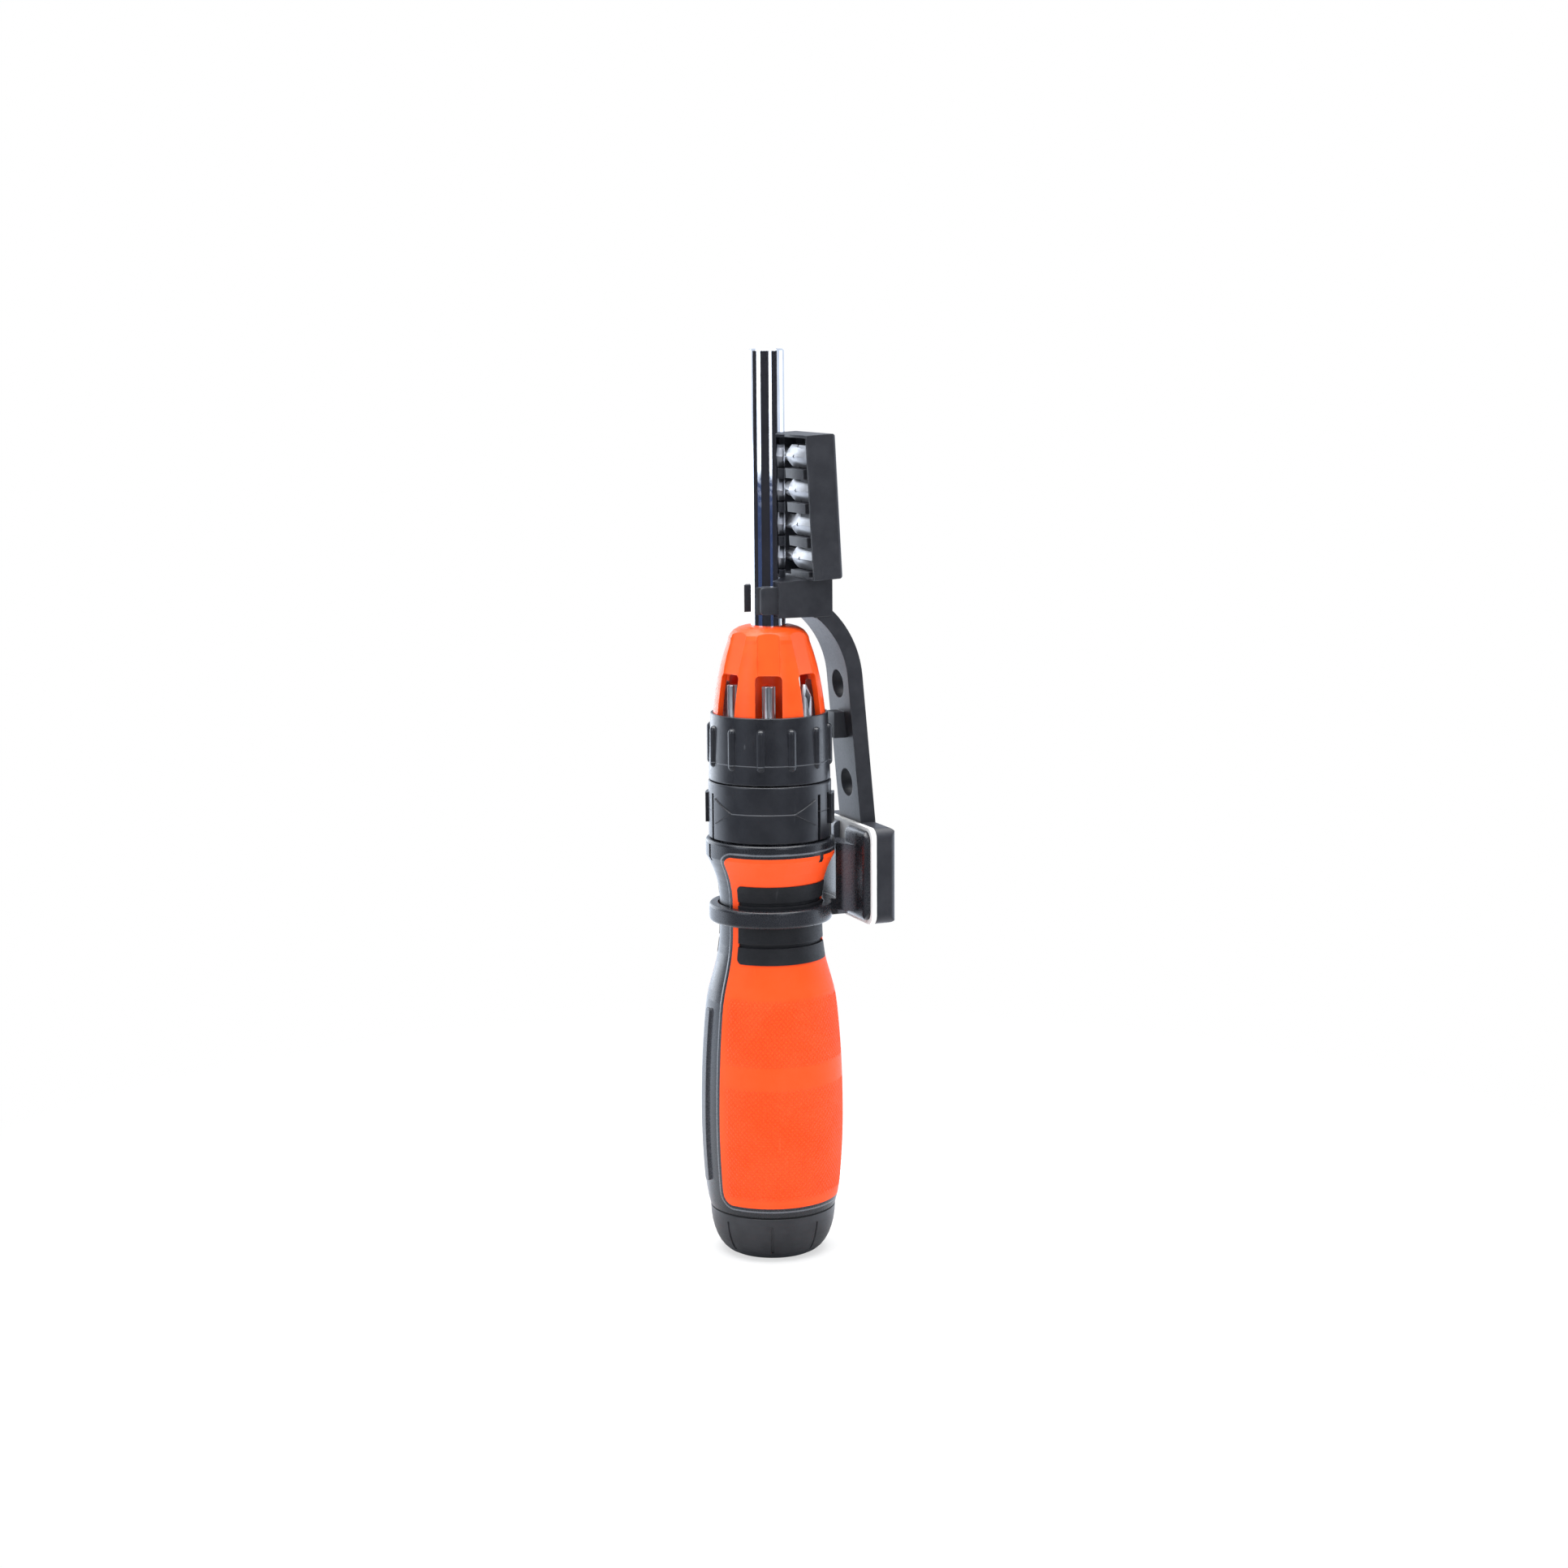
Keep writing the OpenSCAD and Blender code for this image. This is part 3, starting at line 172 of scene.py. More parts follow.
white = (1, 1, 1)
studio = {
    "floorSize": 9.0, "floorColour": (0.9, 0.9, 0.9),
    # the floor's own white: its share at the object's foot, and the distances between which it becomes full
    "floorGlow": 0.62, "fadeFrom": 0.08, "fadeTo": 0.3,
    # what reflections see of the floor: from and to distance, and the tone at each
    "glossLift": (-0.12, 0.12, 0.42, 2.4), "underShade": (0.02, 0.06, 0.08, 1.0),
    "worldLight": 0.26, "worldColour": (0.97, 0.985, 1.0), "glossColour": (0.79, 0.88, 1.02),
    "topLamp": {"size": 1.3, "height": 1.25, "watts": 36.0},
    # upright lamps, each at an angle to the right of the camera; the last two stay out of reflections
    "lamps": [
        {"towards": -53, "distance": 0.95, "wide": 0.44, "foot": 0.18, "top": 0.75, "watts": 1.5, "shows": True},
        {"towards": 24, "distance": 0.95, "wide": 0.267, "foot": 0.18, "top": 0.75, "watts": 1.2, "shows": True},
        {"towards": -138, "distance": 0.9, "wide": 0.7, "foot": 0.0, "top": 0.65, "watts": 4.0, "shows": True},
        {"towards": 112, "distance": 0.9, "wide": 0.5, "foot": 0.0, "top": 0.65, "watts": 1.2, "shows": True},
        {"towards": -60, "distance": 1.5, "wide": 1.0, "foot": 0.4, "top": 1.4, "watts": 2.4, "shows": False},
        {"towards": 75, "distance": 1.5, "wide": 1.0, "foot": 0.3, "top": 1.3, "watts": 3.0, "shows": False},
    ],
    "lampColour": (0.86, 0.92, 1.0),
    # screens on the floor that only reflections see, each between two angles to the right of the camera
    "screenDistance": 0.93,
    "screens": [
        {"spans": [(-100, -66), (-40, 16), (32, 73)], "top": 0.6, "tone": (0.02, 0.02, 0.024)},
        {"spans": [(-66, -40), (16, 32)], "top": 0.178, "tone": (0.03, 0.045, 0.1)},
    ],
}


def background(tree, colour, strength):
    node = tree.nodes.new("ShaderNodeBackground")
    feed(tree, node.inputs["Color"], colour)
    feed(tree, node.inputs["Strength"], strength)
    return node.outputs[0]


def makeWorld():
    world = bpy.data.worlds.new("studioWorld")
    bpy.context.scene.world = world
    world.use_nodes = True
    tree = world.node_tree
    tree.nodes.clear()
    path = tree.nodes.new("ShaderNodeLightPath").outputs
    light = background(tree, studio["worldColour"], studio["worldLight"])
    # white behind the object, and in what metal and gloss mirror
    seenBy = {"Is Glossy Ray": studio["glossColour"], "Is Transmission Ray": white, "Is Camera Ray": white}
    for ray, colour in seenBy.items():
        light = mixShader(tree, path[ray], light, background(tree, colour, 1.0))
    tree.links.new(light, tree.nodes.new("ShaderNodeOutputWorld").inputs["Surface"])


def paperMaterial():
    mat = bpy.data.materials.new("studioPaper")
    mat.use_nodes = True
    tree = mat.node_tree
    tree.nodes.clear()
    path = tree.nodes.new("ShaderNodeLightPath").outputs
    paper = tree.nodes.new("ShaderNodeBsdfDiffuse")
    feed(tree, paper.inputs["Color"], studio["floorColour"])
    glow = tree.nodes.new("ShaderNodeEmission")
    feed(tree, glow.inputs["Color"], blendColour(tree, path["Is Glossy Ray"], white, studio["glossColour"]))
    away = vectorCalc(tree, "LENGTH", objectPlace(tree))
    behind = vectorCalc(tree, "DOT_PRODUCT", objectPlace(tree), -viewDirections()[0])
    # reflections meet a brighter floor behind the object, and a dark one close under it
    lift = ramp(tree, behind, *studio["glossLift"])
    shade = ramp(tree, away, *studio["underShade"], smooth=False)
    strength = ramp(tree, path["Is Glossy Ray"], 0.0, 1.0, 1.0, calc(tree, "MULTIPLY", lift, shade), False)
    tree.links.new(strength, glow.inputs["Strength"])
    # all white away from the object, and under it the paper that takes its shadow
    share = ramp(tree, away, studio["fadeFrom"], studio["fadeTo"], studio["floorGlow"])
    seen = calc(tree, "MAXIMUM", path["Is Camera Ray"], path["Is Glossy Ray"])
    surface = mixShader(tree, calc(tree, "MULTIPLY", seen, share), paper.outputs[0], glow.outputs[0])
    tree.links.new(surface, tree.nodes.new("ShaderNodeOutputMaterial").inputs["Surface"])
    return mat


def makeFloor():
    deselectAll()
    bpy.ops.mesh.primitive_plane_add(size=studio["floorSize"], location=(0, 0, 0))
    floor = bpy.context.object
    floor.name = "studioFloor"
    floor.data.materials.append(paperMaterial())


def aroundCamera(angle, distance, height):
    back, right = viewDirections()
    flat = Vector((back.x, back.y, 0)).normalized()
    a = math.radians(angle)
    spot = (flat * math.cos(a) + right * math.sin(a)) * distance
    return Vector((spot.x, spot.y, height))


def makeLamps():
    top = studio["topLamp"]
    deselectAll()
    bpy.ops.object.light_add(type="AREA", location=(0, 0, top["height"]))
    lamp = bpy.context.object
    lamp.name = "topSoftbox"
    lamp.data.size = top["size"]
    lamp.data.energy = top["watts"]
    for i, side in enumerate(studio["lamps"]):
        middle = (side["foot"] + side["top"]) / 2
        spot = aroundCamera(side["towards"], side["distance"], middle)
        turn = (Vector((0, 0, middle)) - spot).to_track_quat("-Z", "Y")
        bpy.ops.object.light_add(type="AREA", location=spot, rotation=turn.to_euler())
        lamp = bpy.context.object
        lamp.name = "sideSoftbox%d" % i
        lamp.data.shape = "RECTANGLE"
        lamp.data.size = side["wide"]
        lamp.data.size_y = side["top"] - side["foot"]
        lamp.data.energy = side["watts"]
        lamp.data.color = studio["lampColour"]
        lamp.visible_glossy = side["shows"]
        lamp.visible_camera = False


def makeScreens():
    far = studio["screenDistance"]
    spans = [(kind, span) for kind in studio["screens"] for span in kind["spans"]]
    for i, (kind, (left, right)) in enumerate(spans):
        mat = bpy.data.materials.new("studioScreen%d" % i)
        mat.use_nodes = True
        shader = mat.node_tree.nodes["Principled BSDF"]
        shader.inputs["Base Color"].default_value = (*kind["tone"], 1)
        shader.inputs["Roughness"].default_value = 1.0
        shader.inputs["Specular IOR Level"].default_value = 0.0
        middle = kind["top"] / 2
        spot = aroundCamera((left + right) / 2, far, middle)
        width = 2 * far * math.tan(math.radians(right - left) / 2)
        turn = (Vector((0, 0, middle)) - spot).to_track_quat("Z", "Y")
        deselectAll()
        bpy.ops.mesh.primitive_plane_add(size=1, location=spot, rotation=turn.to_euler())
        screen = bpy.context.object
        screen.name = "studioScreen%d" % i
        screen.scale = (width, kind["top"], 1)
        screen.data.materials.append(mat)
        screen.visible_camera = False
        screen.visible_diffuse = False
        screen.visible_shadow = False
        screen.visible_transmission = False


makeCamera()
makeWorld()
makeFloor()
makeLamps()
makeScreens()
bpy.context.scene.view_settings.view_transform = "Standard"
print("camera and studio ready")


# shared effects, as node groups

def newGroup(name, inputs, outputs):
    group = bpy.data.node_groups.new(name, "ShaderNodeTree")
    for label, value in inputs.items():
        socket = group.interface.new_socket(label, in_out="INPUT", socket_type="NodeSocketFloat")
        socket.default_value = value
    for label in outputs:
        group.interface.new_socket(label, in_out="OUTPUT", socket_type="NodeSocketFloat")
    return group, group.nodes.new("NodeGroupInput").outputs, group.nodes.new("NodeGroupOutput").inputs


def useGroup(tree, group, **values):
    node = tree.nodes.new("ShaderNodeGroup")
    node.node_tree = group
    for label, value in values.items():
        node.inputs[label].default_value = value
    return node.outputs


def softEdges(tree, radius, samples=4):
    node = tree.nodes.new("ShaderNodeBevel")
    node.samples = samples
    feed(tree, node.inputs["Radius"], radius)
    return node.outputs["Normal"]


# one in the middle of a line, and nothing from its width on
def thinLine(tree, away, width):
    near = calc(tree, "SUBTRACT", 1.0, calc(tree, "DIVIDE", away, width))
    return calc(tree, "MAXIMUM", near, 0.0)


# degrees from the middle of the nearer grip
def fromGrip(tree, angle):
    folded = calc(tree, "SUBTRACT", calc(tree, "ABSOLUTE", angle), 90.0)
    return calc(tree, "SUBTRACT", 90.0, calc(tree, "ABSOLUTE", folded))


# angle in degrees from the front of the handle, radius and height in millimetres
def buildAroundAxis():
    group, _, out = newGroup("aroundAxis", {}, ["Angle", "Radius", "Height"])
    x, y, z = placeInMm(group)
    angle = calc(group, "ARCTAN2", x, calc(group, "MULTIPLY", y, -1))
    group.links.new(calc(group, "DEGREES", angle), out["Angle"])
    group.links.new(calc(group, "SQRT", sumOfSquares(group, x, y)), out["Radius"])
    group.links.new(z, out["Height"])
    return group


# the fine spark-eroded grain of moulded plastic, with slow cloudy changes of gloss
grainLook = {
    "fineDetail": 2.0, "cloudDetail": 4.0, "roughness": 0.6, "fineSpan": (0.35, 0.7), "cloudSpan": (0.3, 0.7),
}


def buildMouldedGrain():
    group, given, out = newGroup("mouldedGrain", {"Grain": 2600.0, "Cloud": 130.0}, ["Height", "Fine", "Cloud"])
    spot = objectPlace(group)
    fine = noise(group, spot, given["Grain"], grainLook["fineDetail"], grainLook["roughness"])
    cloud = noise(group, spot, given["Cloud"], grainLook["cloudDetail"], grainLook["roughness"])
    group.links.new(fine, out["Height"])
    group.links.new(ramp(group, fine, *grainLook["fineSpan"]), out["Fine"])
    group.links.new(ramp(group, cloud, *grainLook["cloudSpan"]), out["Cloud"])
    return group


# a thin raised line round the axis, such as a mould's parting line, that wanders a little
lineLook = {"wanderScale": 180.0, "wander": 0.16}


def buildMouldLine():
    group, given, out = newGroup("mouldLine", {"At": 0.0, "Width": 0.2, "Within": 99.0}, ["Mask"])
    axis = useGroup(group, aroundAxis)
    drift = calc(group, "SUBTRACT", noise(group, objectPlace(group), lineLook["wanderScale"]), 0.5)
    wander = calc(group, "MULTIPLY", drift, lineLook["wander"])
    above = calc(group, "SUBTRACT", axis["Height"], given["At"])
    near = thinLine(group, calc(group, "ABSOLUTE", calc(group, "ADD", above, wander)), given["Width"])
    inside = calc(group, "LESS_THAN", axis["Radius"], given["Within"])
    group.links.new(calc(group, "MULTIPLY", near, inside), out["Mask"])
    return group


# the fine bead that runs round each grip, a little way out from its border; the material raises it with a bump and
# lightens it as a painted highlight
beadLook = {"Border": 69.0, "Low": 16.9, "High": 118.6, "Corner": 3.5, "Off": 1.1, "Width": 0.3}


def buildGripBead():
    group, given, out = newGroup("gripBead", beadLook, ["Mask"])
    axis = useGroup(group, aroundAxis)
    past = calc(group, "SUBTRACT", fromGrip(group, axis["Angle"]), given["Border"])
    aside = calc(group, "MULTIPLY", calc(group, "RADIANS", past), axis["Radius"])
    middle = calc(group, "MULTIPLY", calc(group, "ADD", given["Low"], given["High"]), 0.5)
    tall = calc(group, "MULTIPLY", calc(group, "SUBTRACT", given["High"], given["Low"]), 0.5)
    level = calc(group, "ABSOLUTE", calc(group, "SUBTRACT", axis["Height"], middle))
    above = calc(group, "SUBTRACT", level, tall)
    sides = [calc(group, "MAXIMUM", calc(group, "ADD", part, given["Corner"]), 0.0) for part in (aside, above)]
    outward = calc(group, "SUBTRACT", calc(group, "SQRT", sumOfSquares(group, *sides)), given["Corner"])
    beyond = calc(group, "ABSOLUTE", calc(group, "SUBTRACT", outward, given["Off"]))
    group.links.new(thinLine(group, beyond, given["Width"]), out["Mask"])
    return group


# a small moulding mark: place and half sizes in millimetres
markLook = {"X": 0.0, "Y": 0.0, "Z": 0.0, "Wide": 0.7, "Tall": 1.3}
markFade = (1.0, 0.3)


def buildSmallMark():
    group, given, out = newGroup("smallMark", markLook, ["Mask"])
    x, y, z = [calc(group, "SUBTRACT", part, given[label]) for part, label in zip(placeInMm(group), "XYZ")]
    wide = calc(group, "DIVIDE", calc(group, "SQRT", sumOfSquares(group, x, y)), given["Wide"])
    tall = calc(group, "DIVIDE", z, given["Tall"])
    group.links.new(ramp(group, sumOfSquares(group, wide, tall), *markFade), out["Mask"])
    return group


# the grip's little diamonds, in two belts with a smooth belt between them, with their valleys darkened as painted
# shade
lattice = {"across": 1.35, "along": 1.5, "roll": 20.0}  # spacing, and the radius that the pattern is rolled on
beltLook = {
    "Across": lattice["across"], "Along": lattice["along"],
    "Low": 18.5, "Gap low": 52.0, "Gap high": 58.4, "High": 77.0, "Half": 62.0,
}
beltFade = {"side": 4.0, "end": 1.5, "gap": 0.8, "peak": 0.75}


def buildDiamondKnurl():
    group, given, out = newGroup("diamondKnurl", beltLook, ["Height", "Valley"])
    axis = useGroup(group, aroundAxis)
    turned = calc(group, "WRAP", axis["Angle"], 90.0, -90.0)
    rolled = calc(group, "MULTIPLY", turned, math.radians(lattice["roll"]))
    across = calc(group, "DIVIDE", rolled, given["Across"])
    along = calc(group, "DIVIDE", axis["Height"], given["Along"])
    first = calc(group, "PINGPONG", calc(group, "ADD", across, along), 0.5)
    second = calc(group, "PINGPONG", calc(group, "SUBTRACT", across, along), 0.5)
    peak = calc(group, "MULTIPLY", calc(group, "MINIMUM", first, second), 2.0)
    tooth = ramp(group, peak, 0.0, beltFade["peak"])

    def fade(label, start, end):
        low, high = [calc(group, "ADD", given[label], step) for step in (start, end)]
        return ramp(group, axis["Height"], low, high)

    end, gap = beltFade["end"], beltFade["gap"]
    lower = calc(group, "MULTIPLY", fade("Low", 0.0, end), fade("Gap low", gap, -gap))
    upper = calc(group, "MULTIPLY", fade("Gap high", -gap, gap), fade("High", end, 0.0))
    border = calc(group, "ADD", given["Half"], beltFade["side"])
    side = ramp(group, fromGrip(group, axis["Angle"]), border, given["Half"])
    mask = calc(group, "MULTIPLY", side, calc(group, "ADD", lower, upper))
    group.links.new(calc(group, "MULTIPLY", calc(group, "SUBTRACT", tooth, 1.0), mask), out["Height"])
    group.links.new(calc(group, "MULTIPLY", calc(group, "SUBTRACT", 1.0, tooth), mask), out["Valley"])
    return group


# fine handling marks, in patches
handlingLook = {
    "stretch": (1.0, 0.35, 0.12), "turn": (0.5, 0.35, 0.8), "detail": 5.0, "roughness": 0.7, "thin": (0.62, 0.72),
    "patchScale": 60.0, "patch": (0.45, 0.65),
}


def buildHandling():
    group, given, out = newGroup("handling", {"Scale": 420.0, "Amount": 0.5}, ["Mask"])
    stretch = group.nodes.new("ShaderNodeMapping")
    stretch.inputs["Scale"].default_value = handlingLook["stretch"]
    stretch.inputs["Rotation"].default_value = handlingLook["turn"]
    group.links.new(objectPlace(group), stretch.inputs["Vector"])
    lines = noise(group, stretch.outputs[0], given["Scale"], handlingLook["detail"], handlingLook["roughness"])
    thin = ramp(group, lines, *handlingLook["thin"])
    patch = ramp(group, noise(group, objectPlace(group), handlingLook["patchScale"]), *handlingLook["patch"])
    group.links.new(calc(group, "MULTIPLY", calc(group, "MULTIPLY", thin, patch), given["Amount"]), out["Mask"])
    return group


# edges lightened in patches: partly rubbed wear, partly a painted highlight standing in for the light that rounded
# edges catch
rubAndHighlightLook = {"samples": 6, "bare": (0.985, 0.86), "detail": 4.0, "roughness": 0.6, "patch": (0.36, 0.62)}


def buildEdgeWearAndHighlight():
    group, given, out = newGroup("edgeWear", {"Radius": 0.0004, "Amount": 0.6, "Patches": 240.0}, ["Mask"])
    rounded = softEdges(group, given["Radius"], rubAndHighlightLook["samples"])
    plain = group.nodes.new("ShaderNodeNewGeometry").outputs["Normal"]
    bare = ramp(group, vectorCalc(group, "DOT_PRODUCT", rounded, plain), *rubAndHighlightLook["bare"])
    cloud = noise(group, objectPlace(group), given["Patches"], rubAndHighlightLook["detail"], rubAndHighlightLook["roughness"])
    patch = ramp(group, cloud, *rubAndHighlightLook["patch"])
    group.links.new(calc(group, "MULTIPLY", calc(group, "MULTIPLY", bare, patch), given["Amount"]), out["Mask"])
    return group


aroundAxis = buildAroundAxis()
mouldedGrain = buildMouldedGrain()
mouldLine = buildMouldLine()
gripBead = buildGripBead()
smallMark = buildSmallMark()
diamondKnurl = buildDiamondKnurl()
handling = buildHandling()
edgeWear = buildEdgeWearAndHighlight()
print("node groups ready")


# materials

bumpDepth = {"grain": 0.1 * mm, "mark": 0.2 * mm, "seam": 0.3 * mm, "knurl": 0.2 * mm}


def bumpOn(tree, height, strength, depth, under):
    node = tree.nodes.new("ShaderNodeBump")
    node.inputs["Strength"].default_value = strength
    node.inputs["Distance"].default_value = bumpDepth[depth]
    tree.links.new(height, node.inputs["Height"])
    tree.links.new(under, node.inputs["Normal"])
    return node.outputs["Normal"]


def grainBump(tree, grain, look):
    return bumpOn(tree, grain["Height"], look["bump"], "grain", softEdges(tree, look["edge"] * mm))


def grainRough(tree, grain, look):
    return ramp(tree, grain["Fine"], 0.0, 1.0, *look["rough"], smooth=False)


def startMaterial(name, **values):
    mat = bpy.data.materials.new(name)
    mat.use_nodes = True
    sockets = mat.node_tree.nodes["Principled BSDF"].inputs
    for label, value in values.items():
        sockets[label.replace("_", " ")].default_value = value
    return mat, mat.node_tree, sockets


def linkSurface(tree, sockets, base, rough, normal):
    for label, value in (("Base Color", base), ("Roughness", rough), ("Normal", normal)):
        tree.links.new(value, sockets[label])


# painted light: a lighter base colour on the outward side of the strap's plate, standing in for the highlights
# that its cove catches
def paintedPlateLightMask(tree, spot):
    x, y, _ = placeInMm(tree)
    inner = ramp(tree, calc(tree, "ABSOLUTE", y), *spot["inner"])
    return calc(tree, "MULTIPLY", ramp(tree, x, *spot["beyond"]), inner)


# painted sheen: a lighter base colour on the raised ridges on the handle's sides, standing in for the bright
# reflection they catch at a grazing angle
def paintedRidgeSheenMask(tree, spot):
    _, y, z = placeInMm(tree)
    aside = ramp(tree, calc(tree, "ABSOLUTE", y), *spot["aside"])
    level = calc(tree, "ABSOLUTE", calc(tree, "SUBTRACT", z, spot["middle"]))
    return calc(tree, "MULTIPLY", aside, ramp(tree, level, *spot["tall"]))


def plasticMaterial(name, look):
    mat, tree, sockets = startMaterial(name, IOR=look["ior"], Specular_IOR_Level=look["gloss"])
    grain = useGroup(tree, mouldedGrain, Grain=look["grain"], Cloud=look["cloud"])
    worn = useGroup(tree, handling, Amount=look["handled"])["Mask"]
    rubbed = useGroup(tree, edgeWear, Radius=look.get("rub", look["edge"]) * mm, Amount=look["rubbed"])["Mask"]
    base = blendColour(tree, grain["Cloud"], look["dark"], look["light"])
    base = blendColour(tree, worn, base, look["scuff"])
    # painted highlight: edges are lightened towards the light scuff-and-highlight colour, partly as rubbed wear
    base = blendColour(tree, rubbed, base, look["scuff"])
    rough = grainRough(tree, grain, look)
    normal = grainBump(tree, grain, look)
    # painted light: the strap plate's outward side and the handle's side ridges get a lighter base colour
    for kind, makeMask in (("far", paintedPlateLightMask), ("ridge", paintedRidgeSheenMask)):
        if kind in look:
            base = blendColour(tree, makeMask(tree, look[kind]), base, look[kind]["tone"])
    # the bead's lighter colour is a painted highlight along it; the mould line and the small mark are raised and
    # lightened the same way
    for kind, group in (("line", mouldLine), ("bead", gripBead), ("mark", smallMark)):
        if kind in look:
            mark = look[kind]
            mask = useGroup(tree, group, **mark["inputs"])["Mask"]
            base = blendColour(tree, ramp(tree, mask, 0.0, 1.0, 0.0, mark["share"]), base, look["scuff"])
            normal = bumpOn(tree, mask, mark["rise"], "mark", normal)
    if "seam" in look:
        seam = look["seam"]
        gap = ramp(tree, useGroup(tree, mouldLine, **seam["inputs"])["Mask"], *seam["span"])
        base = blendColour(tree, gap, base, seam["tone"])
        rough = calc(tree, "MAXIMUM", rough, calc(tree, "MULTIPLY", gap, seam["rough"]))
        normal = bumpOn(tree, calc(tree, "SUBTRACT", 1.0, gap), seam["rise"], "seam", normal)
    linkSurface(tree, sockets, base, rough, normal)
    return mat


# lengths in millimetres: edge is the radius of an edge; the other length, where given, is the width of the
# lightened edge band, which is partly rubbed wear and partly a painted highlight
capSeam = {
    "inputs": {"At": 13.7, "Width": 0.4}, "span": (0.1, 0.6), "tone": (0.001, 0.001, 0.0012),
    "rough": 0.9, "rise": 0.8,
}
ringBlack = {
    "dark": (0.0105, 0.0112, 0.015), "light": (0.0165, 0.0175, 0.022), "scuff": (0.1, 0.105, 0.118),
    "rough": (0.28, 0.38), "grain": 1900.0, "cloud": 160.0, "bump": 0.12, "edge": 0.3,
    "gloss": 0.5, "ior": 1.5, "handled": 0.4,
}
plasticLooks = {
    "handleBlack": {
        "dark": (0.0095, 0.0102, 0.0135), "light": (0.0145, 0.0155, 0.0195), "scuff": (0.14, 0.15, 0.172),
        "rough": (0.24, 0.32), "grain": 3000.0, "cloud": 90.0, "bump": 0.03, "edge": 0.3, "rubbed": 0.35,
        "gloss": 0.5, "ior": 1.5, "handled": 0.2,
        # the bead is lightened to the full scuff-and-highlight colour as a painted highlight
        "bead": {"inputs": {"Off": 1.1, "Width": 0.42}, "share": 1.0, "rise": 0.6},
        # painted sheen: a lighter tone on the side ridges, standing in for their grazing reflection
        "ridge": {"tone": (0.05, 0.053, 0.062), "aside": (3.4, 2.0), "middle": 48.0, "tall": (26.2, 25.2)},
        "seam": capSeam,
    },
    "capBlack": {
        "dark": (0.0125, 0.013, 0.0165), "light": (0.022, 0.023, 0.028), "scuff": (0.075, 0.08, 0.09),
        "rough": (0.3, 0.4), "grain": 2400.0, "cloud": 140.0, "bump": 0.08, "edge": 0.3, "rubbed": 0.5,
        "gloss": 0.5, "ior": 1.5, "handled": 0.45,
        "seam": capSeam,
    },
    "selectorBlack": {
        **ringBlack, "rubbed": 0.5,
        "line": {"inputs": {"At": 131.0, "Width": 0.2, "Within": 17.75}, "share": 0.8, "rise": 0.7},
    },
    "collarBlack": {
        **ringBlack, "rubbed": 0.45,
        "line": {"inputs": {"At": 144.8, "Width": 0.2, "Within": 99.0}, "share": 0.8, "rise": 0.6},
        "mark": {
            "inputs": {"X": -12.6, "Y": -12.3, "Z": 150.2, "Wide": 0.8, "Tall": 1.4}, "share": 0.35, "rise": 0.5,
        },
    },
    "padRubber": {
        "dark": (0.0075, 0.0078, 0.0098), "light": (0.011, 0.0115, 0.014), "scuff": (0.05, 0.052, 0.058),
        "rough": (0.5, 0.62), "grain": 2200.0, "cloud": 200.0, "bump": 0.15, "edge": 0.25, "rubbed": 0.3,
        "gloss": 0.35, "ior": 1.48, "handled": 0.45,
    },
    "carrierBlack": {
        "dark": (0.02, 0.021, 0.026), "light": (0.03, 0.0312, 0.0375), "scuff": (0.09, 0.094, 0.104),
        "rough": (0.42, 0.48), "grain": 1700.0, "cloud": 180.0, "bump": 0.06, "edge": 0.4, "rubbed": 0.5,
        "gloss": 0.32, "ior": 1.5, "handled": 0.25,
    },
    "rackBlack": {
        "dark": (0.02, 0.021, 0.026), "light": (0.03, 0.0312, 0.0375), "scuff": (0.1, 0.105, 0.115),
        "rough": (0.5, 0.55), "grain": 1700.0, "cloud": 180.0, "bump": 0.06, "edge": 0.35, "rubbed": 0.7,
        "gloss": 0.35, "ior": 1.46, "handled": 0.2,
    },
    "strapBlack": {
        "dark": (0.0105, 0.011, 0.0145), "light": (0.0165, 0.0175, 0.022), "scuff": (0.07, 0.074, 0.084),
        "rough": (0.24, 0.34), "grain": 2600.0, "cloud": 150.0, "bump": 0.05, "edge": 0.5, "rubbed": 0.4,
        "gloss": 0.5, "ior": 1.52, "handled": 0.25,
        # painted light: a lighter tone on the outward side of the plate, standing in for the highlights on its
        # cove
        "far": {"tone": (0.11, 0.117, 0.138), "beyond": (19.3, 20.3), "inner": (13.0, 8.0)},
    },
    "coneOrange": {
        "dark": (0.95, 0.076, 0.006), "light": (1.0, 0.092, 0.009), "scuff": (1.0, 0.2, 0.06),
        "rough": (0.32, 0.44), "grain": 2400.0, "cloud": 90.0, "bump": 0.08, "edge": 0.3, "rub": 0.4,
        "rubbed": 0.5, "gloss": 0.32, "ior": 1.5, "handled": 0.25,
    },
}
plastics = {name: plasticMaterial(name, look) for name, look in plasticLooks.items()}


gripLook = {
    # the valley colour is painted shade in the knurl's valleys
    "ridge": (0.98, 0.073, 0.004), "valley": (0.84, 0.05, 0.002), "dust": (1.0, 0.115, 0.03),
    "valleyShare": 0.6, "dustShare": 0.22, "rough": (0.5, 0.62), "grain": 1800.0, "cloud": 70.0,
    "bump": 0.12, "edge": 0.25, "scratches": 300.0, "handled": 0.35, "knurlRise": 0.45, "gloss": 0.3, "ior": 1.45,
}


